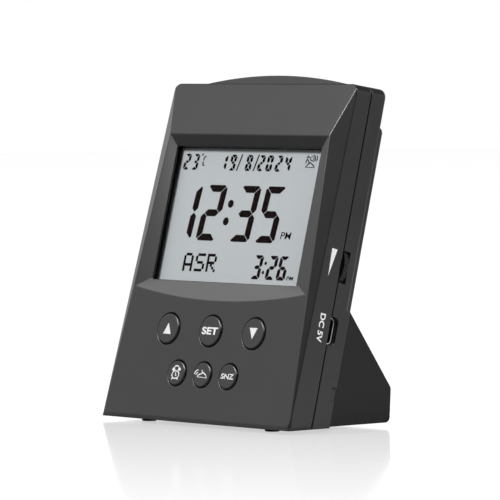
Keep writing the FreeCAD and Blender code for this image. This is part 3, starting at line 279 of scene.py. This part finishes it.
# ------------------------------------------------------------------ display
# A grey reflective glass behind a clear window, held in a black frame whose walls show all round.
# The dark signs are printed electrodes in the glass: seven-bar figures, dots and small words.
GLASS_GREY = (0.530, 0.566, 0.585)
SIGN_BLACK = (0.010, 0.006, 0.006)
SIGN_FADED = (0.013, 0.0078, 0.0078)
SIGN_GREY = (0.045, 0.045, 0.045)
SIGN_GREY_DARK = (0.042, 0.042, 0.042)
SIGN_GREY_PALE = (0.050, 0.050, 0.050)
SIGN_SLANT = 0.082
SIGN_LIFT = 0.03


def speckle(tree, shader, place, size, first, second):
    """Mixes two colours in fine even specks of the given size in millimetres."""
    specks = spread(tree, add_noise(tree, place, size), 0, 1)
    tree.links.new(mix_colours(tree, specks, first, second), shader.inputs["Base Color"])


frame_black, tree, shader, place = new_material("frame_black", (0.004, 0.004, 0.004), 0.55)
add_bump(tree, shader, add_noise(tree, place, 0.3), 0.01)
finish_node("lcd_frame", frame_black)

window_clear, tree, shader, place = new_material("window_clear", (0.02, 0.02, 0.02), 0.08)
shader.inputs["Alpha"].default_value = 0.02
tree.links.new(spread(tree, add_noise(tree, place, 9.0), 0.05, 0.09), shader.inputs["Roughness"])
finish_node("display_window", window_clear)

display_grey, tree, shader, place = new_material("display_grey", GLASS_GREY, 0.5)
darker = [part * 0.985 for part in GLASS_GREY]
lighter = [part * 1.015 for part in GLASS_GREY]
speckle(tree, shader, place, 0.12, darker, lighter)
finish_node("lcd_panel", display_grey)

sign_black, tree, shader, place = new_material("sign_black", SIGN_BLACK, 0.5)
shader.inputs["Specular IOR Level"].default_value = 0.0
speckle(tree, shader, place, 0.2, SIGN_BLACK, SIGN_FADED)
sign_grey, tree, shader, place = new_material("sign_grey", SIGN_GREY, 0.45)
speckle(tree, shader, place, 0.2, SIGN_GREY_DARK, SIGN_GREY_PALE)

sign_height = span("lcd_panel")[1].z + SIGN_LIFT


def lay_shape(points, height):
    """One flat filled shape with these corners in the case frame, drawn from a round blank."""
    bpy.ops.object.select_all(action="DESELECT")
    bpy.ops.mesh.primitive_circle_add(vertices=len(points), radius=MM, fill_type="NGON")
    shape = bpy.context.object
    for vertex, (x, y) in zip(shape.data.vertices, points):
        vertex.co = CASE @ (Vector((x, y, height)) * MM)
    return shape


def join_signs(shapes, name, body, material):
    """Joins flat shapes into one piece with its faces outward."""
    bpy.ops.object.select_all(action="DESELECT")
    for shape in shapes:
        shape.select_set(True)
    bpy.context.view_layer.objects.active = shapes[0]
    if len(shapes) > 1:
        bpy.ops.object.join()
    piece = bpy.context.object
    piece.name = name
    outward = CASE.to_3x3() @ Vector((0, 0, 1))
    bpy.ops.object.mode_set(mode="EDIT")
    bpy.ops.mesh.select_all(action="DESELECT")
    bpy.ops.object.mode_set(mode="OBJECT")
    for face in piece.data.polygons:
        face.select = face.normal.dot(outward) < 0
    bpy.ops.object.mode_set(mode="EDIT")
    bpy.ops.mesh.flip_normals()
    bpy.ops.object.mode_set(mode="OBJECT")
    piece.data.materials.clear()
    piece.data.materials.append(material)
    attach(piece, body)


BAR_CHAMFER = 0.45
BARS_LIT = {
    "0": "abcdef", "1": "bc", "2": "abdeg", "3": "abcdg", "4": "bcfg", "5": "acdfg", "6": "acdefg",
    "8": "abcdefg", "9": "abcdfg", "C": "adef",
}


def bar_outline(bar, width, height, stroke, gap):
    """Corners of one bar of a seven-bar figure, from the figure's lower left corner."""
    half = height / 2
    chamfer = stroke * BAR_CHAMFER
    if bar in "ad":
        outline = [
            (gap + chamfer, 0),
            (width - gap - chamfer, 0),
            (width - gap - chamfer / 2, chamfer / 2),
            (width - stroke - gap, stroke),
            (stroke + gap, stroke),
            (gap + chamfer / 2, chamfer / 2),
        ]
        return [(x, height - y if bar == "a" else y) for x, y in outline]
    if bar == "g":
        return [
            (stroke / 2 + gap, half),
            (stroke + gap, half + stroke / 2),
            (width - stroke - gap, half + stroke / 2),
            (width - stroke / 2 - gap, half),
            (width - stroke - gap, half - stroke / 2),
            (stroke + gap, half - stroke / 2),
        ]
    outline = [
        (0, gap + chamfer),
        (chamfer / 2, gap + chamfer / 2),
        (stroke, stroke + gap),
        (stroke, half - stroke / 2 - gap),
        (stroke / 2, half - gap),
        (0, half - stroke / 2 - gap),
    ]
    if bar in "bf":
        outline = [(x, height - y) for x, y in outline]
    if bar in "bc":
        outline = [(width - x, y) for x, y in outline]
    return outline


UPRIGHT_WEIGHT = 1.15


def figure(sign, left, low, width, height, stroke, gap):
    """The lit bars of one seven-bar figure, leaning to the right, its upright bars the heavier."""
    shapes = []
    for bar in BARS_LIT[sign]:
        corners = bar_outline(bar, width / UPRIGHT_WEIGHT, height, stroke, gap)
        points = [(left + x * UPRIGHT_WEIGHT + y * SIGN_SLANT, low + y) for x, y in corners]
        shapes.append(lay_shape(points, sign_height))
    return shapes


DOT_CORNERS = 24


def dot(x, y, radius):
    """A round dot."""
    turns = [math.tau * step / DOT_CORNERS for step in range(DOT_CORNERS)]
    points = [(x + radius * math.cos(angle), y + radius * math.sin(angle)) for angle in turns]
    return lay_shape(points, sign_height)


def slash(x, low, height, lean, width):
    """A thin slanted line."""
    points = [(x, low), (x + width, low), (x + lean + width, low + height), (x + lean, low + height)]
    return lay_shape(points, sign_height)


BIG_LOW = 64.0
BIG_HEIGHT = 19.7
BIG_WIDTH = 10.05
BIG_STROKE = 2.46
BIG_GAP = 0.13
BIG_DOT = 1.42
big_time = []
for sign, left in (("1", -33.5), ("2", -20.95), ("3", -4.0), ("5", 8.6)):
    big_time += figure(sign, left, BIG_LOW, BIG_WIDTH, BIG_HEIGHT, BIG_STROKE, BIG_GAP)
big_time += [dot(-6.3, 77.2, BIG_DOT), dot(-7.15, 71.0, BIG_DOT)]
join_signs(big_time, "clock_time", "case", sign_black)

SMALL_LOW = 88.87
SMALL_HEIGHT = 5.66
SMALL_WIDTH = 3.06
SMALL_STROKE = 1.10
SMALL_GAP = 0.12
SLASH_HEIGHT = 5.8
SLASH_LEAN = 1.65
SLASH_WIDTH = 0.62
WARMTH_WIDTH = 3.1
WARMTH_STROKE = 1.02
date = []
for sign, left in (
    ("1", -15.43), ("9", -10.91), ("8", -2.82), ("2", 3.36), ("0", 7.47), ("2", 12.09), ("4", 16.52),
):
    date += figure(sign, left, SMALL_LOW, SMALL_WIDTH, SMALL_HEIGHT, SMALL_STROKE, SMALL_GAP)
for left in (-6.99, 1.4):
    date.append(slash(left, SMALL_LOW, SLASH_HEIGHT, SLASH_LEAN, SLASH_WIDTH))
for sign, left in (("2", -34.32), ("3", -30.0)):
    date += figure(sign, left, SMALL_LOW, WARMTH_WIDTH, SMALL_HEIGHT, WARMTH_STROKE, SMALL_GAP)
join_signs(date, "date_and_warmth", "case", sign_black)
degree = figure("C", -24.78, 90.3, 1.75, 3.55, 0.6, 0.06) + [dot(-25.2, 94.34, 0.42)]
join_signs(degree, "degree_sign", "case", sign_grey)

PRAYER_LOW = 51.32
PRAYER_HEIGHT = 8.4
PRAYER_WIDTH = 4.5
PRAYER_STROKE = 1.3
PRAYER_DOT = 0.6
prayer_time = []
for sign, left in (("3", 10.15), ("2", 17.4), ("6", 22.75)):
    prayer_time += figure(sign, left, PRAYER_LOW, PRAYER_WIDTH, PRAYER_HEIGHT, PRAYER_STROKE, SMALL_GAP)
prayer_time += [dot(16.6, 57.0, PRAYER_DOT), dot(16.1, 53.78, PRAYER_DOT)]
join_signs(prayer_time, "prayer_time", "case", sign_black)

DOT_ROWS = {
    "A": ("01110", "10001", "10001", "10001", "11111", "10001", "10001"),
    "S": ("01111", "10000", "10000", "01110", "00001", "00001", "11110"),
    "R": ("11110", "10001", "10001", "11110", "10100", "10010", "10001"),
}
DOT_PITCH_X = 0.93
DOT_PITCH_Y = 0.906
DOT_WIDTH = 1.06
DOT_HEIGHT = 0.96
DOT_LOW = 53.08
prayer_name = []
for letter, left in (("A", -24.7), ("S", -18.67), ("R", -12.84)):
    for row, line in enumerate(DOT_ROWS[letter]):
        for column, lit in enumerate(line):
            if lit == "1":
                x = left + column * DOT_PITCH_X
                y = DOT_LOW + (len(DOT_ROWS[letter]) - 1 - row) * DOT_PITCH_Y
                right = x + DOT_WIDTH
                high = y + DOT_HEIGHT
                corners = [(x, y), (right, y), (right, high), (x, high)]
                prayer_name.append(lay_shape(corners, sign_height))
join_signs(prayer_name, "prayer_name", "case", sign_black)


def print_words(words, name, body, material, place, width, height, weight=0.0, lean=0.0):
    """Words as a flat print, fitted to a width and height in millimetres about their middle."""
    bpy.ops.object.select_all(action="DESELECT")
    bpy.ops.object.text_add()
    label = bpy.context.object
    label.data.body = words
    label.data.offset = weight
    label.data.shear = lean
    label.data.fill_mode = "FRONT"
    bpy.ops.object.convert(target="MESH")
    label = bpy.context.object
    label.name = name
    across = [vertex.co.x for vertex in label.data.vertices]
    upward = [vertex.co.y for vertex in label.data.vertices]
    middle = Vector(((min(across) + max(across)) / 2, (min(upward) + max(upward)) / 2, 0))
    size = Vector((width * MM / (max(across) - min(across)), height * MM / (max(upward) - min(upward)), 1))
    label.data.transform(place @ Matrix.Diagonal((*size, 1)) @ Matrix.Translation(-middle))
    label.data.materials.clear()
    label.data.materials.append(material)
    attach(label, body)


def on_panel(x, y, z):
    """A place on a face parallel to the front panel."""
    return CASE @ Matrix.Translation(Vector((x, y, z)) * MM)


afternoon = on_panel(23.91, 66.77, sign_height)
print_words("PM", "afternoon", "case", sign_black, afternoon, 5.2, 2.45, 0.008, 0.1)
afternoon = on_panel(29.75, 52.2, sign_height)
print_words("PM", "afternoon_small", "case", sign_black, afternoon, 3.4, 1.4, 0.008, 0.1)


PRINT_THICKNESS = 0.04


def draw_strokes(strokes, name, body, material, place, width):
    """Drawn lines of an even width, each through its own points, laid flat at a place."""
    lines = bpy.data.curves.new(name, "CURVE")
    lines.dimensions = "3D"
    lines.bevel_depth = width / 2 * MM
    lines.bevel_resolution = 2
    lines.use_fill_caps = True
    for points, closed in strokes:
        line = lines.splines.new("POLY")
        line.points.add(len(points) - 1)
        for point, (x, y) in zip(line.points, points):
            point.co = (x * MM, y * MM, 0, 1)
        line.use_cyclic_u = closed
    bpy.ops.object.select_all(action="DESELECT")
    sign = bpy.data.objects.new(name, lines)
    bpy.context.scene.collection.objects.link(sign)
    bpy.context.view_layer.objects.active = sign
    sign.select_set(True)
    bpy.ops.object.convert(target="MESH")
    sign = bpy.context.object
    sign.data.transform(place @ Matrix.Diagonal((1, 1, PRINT_THICKNESS / width, 1)))
    sign.data.materials.clear()
    sign.data.materials.append(material)
    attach(sign, body)


def arc(x, y, radius, start, end, steps=12, flat=1.0):
    """Points of a round stretch between two angles in degrees."""
    turns = [math.radians(start + (end - start) * step / steps) for step in range(steps + 1)]
    return [(x + radius * math.cos(angle), y + radius * flat * math.sin(angle)) for angle in turns]


call_sign = [
    ([(-2.5, -1.9), (-2.1, -1.5), (-1.4, -0.85), (-0.4, -0.2), (1.0, -1.05), (1.7, -1.5), (1.8, -1.9)], True),
    ([(-2.5, -0.6), (-2.55, 0.5), (-2.1, 0.85), (-1.6, 0.5), (-1.0, -0.3)], False),
    ([(-2.4, 1.2), (-2.1, 2.15), (-1.3, 1.75), (-2.0, 1.35)], False),
    ([(-0.95, 1.4), (0.85, 2.4), (1.3, 0.2), (-0.3, 0.6)], True),
    ([(0.6, 1.2), (0.9, 1.2)], False),
    ([(1.4, 2.2), (1.7, 1.25), (1.75, 0.4)], False),
    ([(2.25, 2.2), (2.55, 1.6), (2.5, 0.3)], False),
]
call_place = on_panel(29.6, 92.5, sign_height)
draw_strokes(call_sign, "call_sign", "case", sign_black, call_place, 0.42)


# ------------------------------------------------------------------ keys
# Six round keys of the case's plastic, three large and three small, standing just proud of the
# panel. Their signs are printed in white: arrows, two short words, a bell clock and a dome.
PRINT_WHITE = (0.92, 0.92, 0.92)
PRINT_LIFT = 0.02
key_black = moulded_plastic("key_black", CASE_COLOUR, CASE_ROUGHNESS, CASE_GRAIN, 0.006, 0.12)
print_white, tree, shader, place = new_material("print_white", PRINT_WHITE, 0.5)
thin_ink = [part * 0.96 for part in PRINT_WHITE]
speckle(tree, shader, place, 0.25, thin_ink, PRINT_WHITE)

plunger_white = moulded_plastic("plunger_white", (0.78, 0.78, 0.75), 0.4, 0.3, 0.006)
key_places = {}
for key in ("up", "set", "down", "alarm", "azan", "snooze"):
    low, high = span(key + "_button")
    middle = (low + high) / 2
    key_places[key] = on_panel(middle.x, middle.y, high.z + PRINT_LIFT)
    finish_node(key + "_button", key_black)
    finish_node(key + "_plunger", plunger_white)

ARROW_HALF = 1.95


def print_shape(corners, name, key):
    """A filled white shape on the face of a key."""
    place = CASE.inverted() @ key_places[key]
    middle = place.translation / MM
    shape = lay_shape([(middle.x + x, middle.y + y) for x, y in corners], middle.z)
    join_signs([shape], name, key + "_key", print_white)


print_shape([(-ARROW_HALF, -ARROW_HALF), (ARROW_HALF, -ARROW_HALF), (0, ARROW_HALF)], "up_arrow", "up")
print_shape([(-ARROW_HALF, ARROW_HALF), (0, -ARROW_HALF), (ARROW_HALF, ARROW_HALF)], "down_arrow", "down")
print_words("SET", "set_word", "set_key", print_white, key_places["set"], 7.9, 2.6, 0.035)
snooze_face = key_places["snooze"]
print_words("SNZ", "snooze_word", "snooze_key", print_white, snooze_face, 6.2, 1.9, 0.02)

bell_clock = [
    (arc(-0.2, -0.67, 1.72, 0, 345, 23, 0.78), True),
    ([(-0.2, 0.2), (-0.2, -0.75), (0.35, -1.05)], False),
    (arc(-0.1, 1.1, 1.35, 10, 170), False),
    (arc(-1.5, 1.1, 0.5, 0, 324, 9, 0.75), True),
    ([(-1.75, 1.1), (-1.25, 1.1)], False),
    (arc(1.35, 1.25, 0.5, 0, 324, 9, 0.75), True),
    ([(1.1, 1.25), (1.6, 1.25)], False),
    ([(-1.3, -1.8), (-1.8, -2.45)], False),
    ([(0.9, -1.8), (1.3, -2.4)], False),
]
draw_strokes(bell_clock, "bell_clock", "alarm_key", print_white, key_places["alarm"], 0.46)
dome = [
    ([(-2.0, -0.85), (-1.7, -0.25), (-0.6, 0.15), (0.45, 0.6), (1.3, 0.4), (2.15, -0.15), (2.7, -1.1)], True),
    ([(0.3, 0.55), (-0.05, 1.6)], False),
    (arc(-1.75, -0.45, 2.0, 98, 168, 6), False),
    (arc(-1.75, -0.45, 1.1, 98, 168, 6), False),
]
draw_strokes(dome, "dome_sign", "azan_key", print_white, key_places["azan"], 0.44)


# ------------------------------------------------------------------ prints on the right side
# A white wedge beside the wheel shows which way is louder, and the socket's voltage is printed in
# small letters that read downwards. Both lie on the slightly tapered side wall.
TAPER = 1.15 / 119.6
WEDGE_CORNERS = ((63.47, -4.7), (54.02, -5.09), (63.46, -7.26))
wall_foot = span("front_shell")[1].x
wall_turn = Matrix(((0, 0, 1), (-1, 0, 0), (0, -1, 0))).to_4x4()


def on_side(y, z):
    """A place on the right wall: words read down the wall, their tops towards the back."""
    x = wall_foot - TAPER * y + PRINT_LIFT
    lean_in = Matrix.Rotation(math.atan(TAPER), 4, "Z")
    return CASE @ Matrix.Translation(Vector((x, y, z)) * MM) @ lean_in @ wall_turn


print_words("DC 5V", "voltage_word", "case", print_white, on_side(36.5, -6.1), 9.75, 2.45, 0.03)

bpy.ops.object.select_all(action="DESELECT")
bpy.ops.mesh.primitive_circle_add(vertices=len(WEDGE_CORNERS), radius=MM, fill_type="NGON")
wedge = bpy.context.object
wedge.name = "volume_wedge"
for vertex, (y, z) in zip(wedge.data.vertices, WEDGE_CORNERS):
    vertex.co = CASE @ (Vector((wall_foot - TAPER * y + PRINT_LIFT, y, z)) * MM)
wedge.data.materials.append(print_white)
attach(wedge, "case")


# ------------------------------------------------------------------ volume wheel
# A thin knurled thumbwheel on the steel axle of the volume control, half sunk in the side wall.
wheel_black = moulded_plastic("wheel_black", (0.010, 0.010, 0.010), 0.5, 0.2, 0.006)
finish_node("volume_wheel", wheel_black)


ROLLING_STRETCH = (1, 12, 12)


def plated_steel(name, colour, roughness):
    """Bright plated steel with faint rolling lines and uneven gloss."""
    made, tree, shader, place = new_material(name, colour, roughness, 1.0)
    stretch = tree.nodes.new("ShaderNodeMapping")
    stretch.inputs["Scale"].default_value = ROLLING_STRETCH
    tree.links.new(place, stretch.inputs["Vector"])
    lines = add_noise(tree, stretch.outputs["Vector"], 3.0)
    tree.links.new(spread(tree, lines, roughness - 0.05, roughness + 0.08), shader.inputs["Roughness"])
    add_bump(tree, shader, lines, 0.004)
    return made


pot_steel = plated_steel("pot_steel", (0.62, 0.62, 0.62), 0.3)
finish_node("volume_pot", pot_steel)


# ------------------------------------------------------------------ power socket
# A drawn steel shell with a thin black contact tongue in the middle, just behind the side wall.
# Its rim is bright, and behind the rim the shell's colour is painted black as shade inside the mouth.
RIM_STEEL = (0.80, 0.80, 0.81)
PAINTED_SHADE_BLACK = (0.010, 0.010, 0.010)
PAINTED_SHADE_DEPTH = (0.3, 0.1)
socket_steel = plated_steel("socket_steel", RIM_STEEL, 0.5)
tree, shader, place = open_material(socket_steel)
shader.inputs["Metallic"].default_value = 0.6
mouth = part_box("usb_socket")[1].x
inner, outer = [mouth - depth * MM for depth in PAINTED_SHADE_DEPTH]
# Painted shade: behind the rim the steel's colour turns black, where the inside of the mouth lies in shade.
painted_shade_behind_rim = between(tree, along(tree, place, (1, 0, 0)), inner, outer, 1.0, 0.0)
tree.links.new(mix_colours(tree, painted_shade_behind_rim, RIM_STEEL, PAINTED_SHADE_BLACK), shader.inputs["Base Color"])
finish_node("usb_socket", socket_steel)
tongue_black = moulded_plastic("tongue_black", (0.02, 0.02, 0.02), 0.4, 0.2, 0.004)
finish_node("usb_tongue", tongue_black)


# ------------------------------------------------------------------ foot, battery door and pads
# A hollow wedge of the same plastic is screwed to the back; its colour is painted darker than the case's
# as shade. A flat door closes its battery space, and four soft black pads keep the clock from sliding.
# Half the case's colour: painted shade for the foot and its door, which lie behind the case in its shadow.
foot_black_painted_shade = moulded_plastic("foot_black_painted_shade", (0.007, 0.007, 0.0073), 0.35, CASE_GRAIN, 0.006, 0.45)
shader = open_material(foot_black_painted_shade)[1]
shader.inputs["Specular IOR Level"].default_value = 0.25
finish_node("stand_housing", foot_black_painted_shade)
finish_node("battery_door", foot_black_painted_shade)
pad_rubber, tree, shader, place = new_material("pad_rubber", (0.014, 0.014, 0.014), 0.8)
add_bump(tree, shader, add_noise(tree, place, 0.4), 0.02)
for row in ("front", "rear"):
    finish_node(row + "_foot_pads", pad_rubber)


# ------------------------------------------------------------------ circuit board and its parts
# Green glass fibre board with black chips, a steel crystal can, sleeved capacitors and a small
# black bead that measures the room's warmth.
BOARD_DARK = (0.012, 0.12, 0.045)
BOARD_LIGHT = (0.03, 0.22, 0.08)
board_green, tree, shader, place = new_material("board_green", (0.02, 0.16, 0.06), 0.35)
tracks = add_noise(tree, place, 2.2, 0.0)
greens = mix_colours(tree, spread(tree, tracks, 0, 1), BOARD_DARK, BOARD_LIGHT)
tree.links.new(greens, shader.inputs["Base Color"])
add_bump(tree, shader, tracks, 0.03)
chip_black = moulded_plastic("chip_black", (0.018, 0.018, 0.018), 0.5, 0.15, 0.004)
crystal_steel = plated_steel("crystal_steel", (0.7, 0.7, 0.71), 0.25)
sleeve_blue = moulded_plastic("sleeve_blue", (0.02, 0.03, 0.10), 0.25, 0.5, 0.004)
guide_white = moulded_plastic("guide_white", (0.80, 0.81, 0.79), 0.3, 0.5, 0.004)
rubber_pink = moulded_plastic("rubber_pink", (0.60, 0.28, 0.30), 0.7, 0.2, 0.02)
switch_black = moulded_plastic("switch_black", (0.02, 0.02, 0.02), 0.45, 0.3, 0.006)
finish_node("main_board", board_green)
for node in ("controller_chip", "memory_chip", "thermistor"):
    finish_node(node, chip_black)
finish_node("clock_crystal", crystal_steel)
finish_node("capacitors", sleeve_blue)
finish_node("light_guide", guide_white)
finish_node("zebra_strips", rubber_pink)
for node in ("key_switches", "bar_switch"):
    finish_node(node, switch_black)
finish_node("bar_plunger", plunger_white)


# ------------------------------------------------------------------ loudspeaker
# A pressed steel basket with a dark paper cone, glued behind the slots of the rear shell.
speaker_steel = plated_steel("speaker_steel", (0.5, 0.5, 0.5), 0.35)
cone_paper, tree, shader, place = new_material("cone_paper", (0.05, 0.05, 0.05), 0.85)
add_bump(tree, shader, add_noise(tree, place, 0.5), 0.05)
finish_node("speaker_frame", speaker_steel)
finish_node("speaker_cone", cone_paper)
finish_node("speaker_magnet", speaker_steel)


# ------------------------------------------------------------------ cells, contacts, wires, screws
# Three sleeved cells lie across the foot between plated leaf contacts. Red wires run through the
# back wall to the board, and plated screws with cross recesses hold the halves together.
cell_wrap = moulded_plastic("cell_wrap", (0.06, 0.07, 0.09), 0.25, 1.5, 0.004)
contact_steel = plated_steel("contact_steel", (0.72, 0.72, 0.73), 0.2)
screw_steel = plated_steel("screw_steel", (0.5, 0.5, 0.51), 0.3)
lead_red = moulded_plastic("lead_red", (0.35, 0.02, 0.02), 0.45, 0.3, 0.006)
finish_node("battery_cells", cell_wrap)
for node in ("battery_plates", "battery_springs"):
    finish_node(node, contact_steel)
for node in ("case_screws", "board_screws", "stand_screws"):
    finish_node(node, screw_steel)
for node in ("battery_leads", "speaker_leads"):
    finish_node(node, lead_red)


# ------------------------------------------------------------------ floor and light
# A white glossy table keeps the clock's soft shadow and a faint reflection that dies away towards
# the front. The backdrop is white. Pale walls, brightest high at the left and dark in front and
# above, light the clock together with a soft lamp at the left front and another at the right.
def level_way(turn):
    """The level direction at a bearing in degrees."""
    return (math.cos(math.radians(turn)), math.sin(math.radians(turn)), 0)


def mix_shaders(tree, factor, first, second):
    """Mixes two shaders by a number or by a node's value."""
    mixed = tree.nodes.new("ShaderNodeMixShader")
    if isinstance(factor, float):
        mixed.inputs["Fac"].default_value = factor
    else:
        tree.links.new(factor, mixed.inputs["Fac"])
    tree.links.new(first, mixed.inputs[1])
    tree.links.new(second, mixed.inputs[2])
    return mixed.outputs["Shader"]


FRONT_WAY = level_way(math.degrees(VIEW_TURN) - 90)
TABLE_SIZE = 8
TABLE_GLOW = 1.3
GLOW_SHARE = 0.8
# A range says where a change starts and where it ends, and its first and last value.
SHINE_RANGE = (-0.05, 0.60, 0.50, 0.0)
BOUNCE_RANGE = (0.0, 0.08, 0.0, 1.0)
BOUNCE_NEAR = (0.90, 0.90, 0.90)
BOUNCE_FAR = (0.08, 0.08, 0.08)
bpy.ops.mesh.primitive_plane_add(size=TABLE_SIZE)
floor = bpy.context.object
floor.name = "table"
table_white = bpy.data.materials.new("table_white")
table_white.use_nodes = True
tree = table_white.node_tree
tree.nodes.clear()
output = tree.nodes.new("ShaderNodeOutputMaterial")
paint = tree.nodes.new("ShaderNodeBsdfDiffuse")
bounce = tree.nodes.new("ShaderNodeBsdfDiffuse")
paint.inputs["Color"].default_value = (0.9, 0.9, 0.9, 1)
gloss = tree.nodes.new("ShaderNodeBsdfGlossy")
gloss.inputs["Roughness"].default_value = 0.10
gloss.inputs["Color"].default_value = (1, 1, 1, 1)
glow = tree.nodes.new("ShaderNodeEmission")
glow.inputs["Strength"].default_value = TABLE_GLOW
place = tree.nodes.new("ShaderNodeTexCoord").outputs["Object"]
dim = between(tree, along(tree, place, (0, -1, 0)), *BOUNCE_RANGE)
tree.links.new(mix_colours(tree, dim, BOUNCE_NEAR, BOUNCE_FAR), bounce.inputs["Color"])
white = mix_shaders(tree, GLOW_SHARE, paint.outputs["BSDF"], glow.outputs["Emission"])
shine = between(tree, along(tree, place, FRONT_WAY), *SHINE_RANGE, False)
white = mix_shaders(tree, shine, white, gloss.outputs["BSDF"])
path = tree.nodes.new("ShaderNodeLightPath")
seen = mix_shaders(tree, path.outputs["Is Camera Ray"], bounce.outputs["BSDF"], white)
tree.links.new(seen, output.inputs["Surface"])
floor.data.materials.append(table_white)

DARK_FRONT = (0.40, 0.56, 1.0, 0.02)
LOW_WALL = (-0.6, 0.2, 0.72, 0.98)
HIGH_WALL = (0.68, 0.80, 0.10, 1.22)
WALL_BLEND = (0.3, 0.45, 0.0, 1.0)
ROOF = (0.8, 0.92, 1.0, 0.1)
world = bpy.data.worlds.new("room")
bpy.context.scene.world = world
world.use_nodes = True
tree = world.node_tree
room = tree.nodes["Background"]
bearing = tree.nodes.new("ShaderNodeTexCoord").outputs["Generated"]
dark_front = between(tree, along(tree, bearing, level_way(-62.5)), *DARK_FRONT)
low_wall = between(tree, along(tree, bearing, level_way(-165)), *LOW_WALL)
high_wall = between(tree, along(tree, bearing, level_way(-150)), *HIGH_WALL)
height = along(tree, bearing, (0, 0, 1))
wall = tree.nodes.new("ShaderNodeMix")
tree.links.new(between(tree, height, *WALL_BLEND), wall.inputs["Factor"])
tree.links.new(low_wall, wall.inputs["A"])
tree.links.new(high_wall, wall.inputs["B"])
roof = between(tree, height, *ROOF)
walls = multiply(tree, multiply(tree, dark_front, roof), wall.outputs["Result"])
path = tree.nodes.new("ShaderNodeLightPath")
tone = tree.nodes.new("ShaderNodeMix")
tone.data_type = "RGBA"
tone.inputs["B"].default_value = (1, 1, 1, 1)
tree.links.new(walls, tone.inputs["A"])
tree.links.new(path.outputs["Is Camera Ray"], tone.inputs["Factor"])
tree.links.new(tone.outputs["Result"], room.inputs["Color"])


def soft_lamp(name, place, target, size, power):
    """A soft box aimed at a point."""
    bpy.ops.object.light_add(type="AREA", location=place)
    lamp = bpy.context.object
    lamp.name = name
    lamp.data.shape = "RECTANGLE"
    lamp.data.size, lamp.data.size_y = size
    lamp.data.energy = power
    lamp.rotation_euler = (Vector(target) - Vector(place)).to_track_quat("-Z", "Y").to_euler()


MIDDLE = (0, 0, 0.06)
soft_lamp("key_lamp", (-0.354, -0.877, 0.799), MIDDLE, (0.3, 0.3), 11.6)
soft_lamp("side_lamp", (0.557, 0.098, 0.626), MIDDLE, (0.35, 0.35), 4.2)
bpy.context.scene.view_settings.view_transform = "Standard"
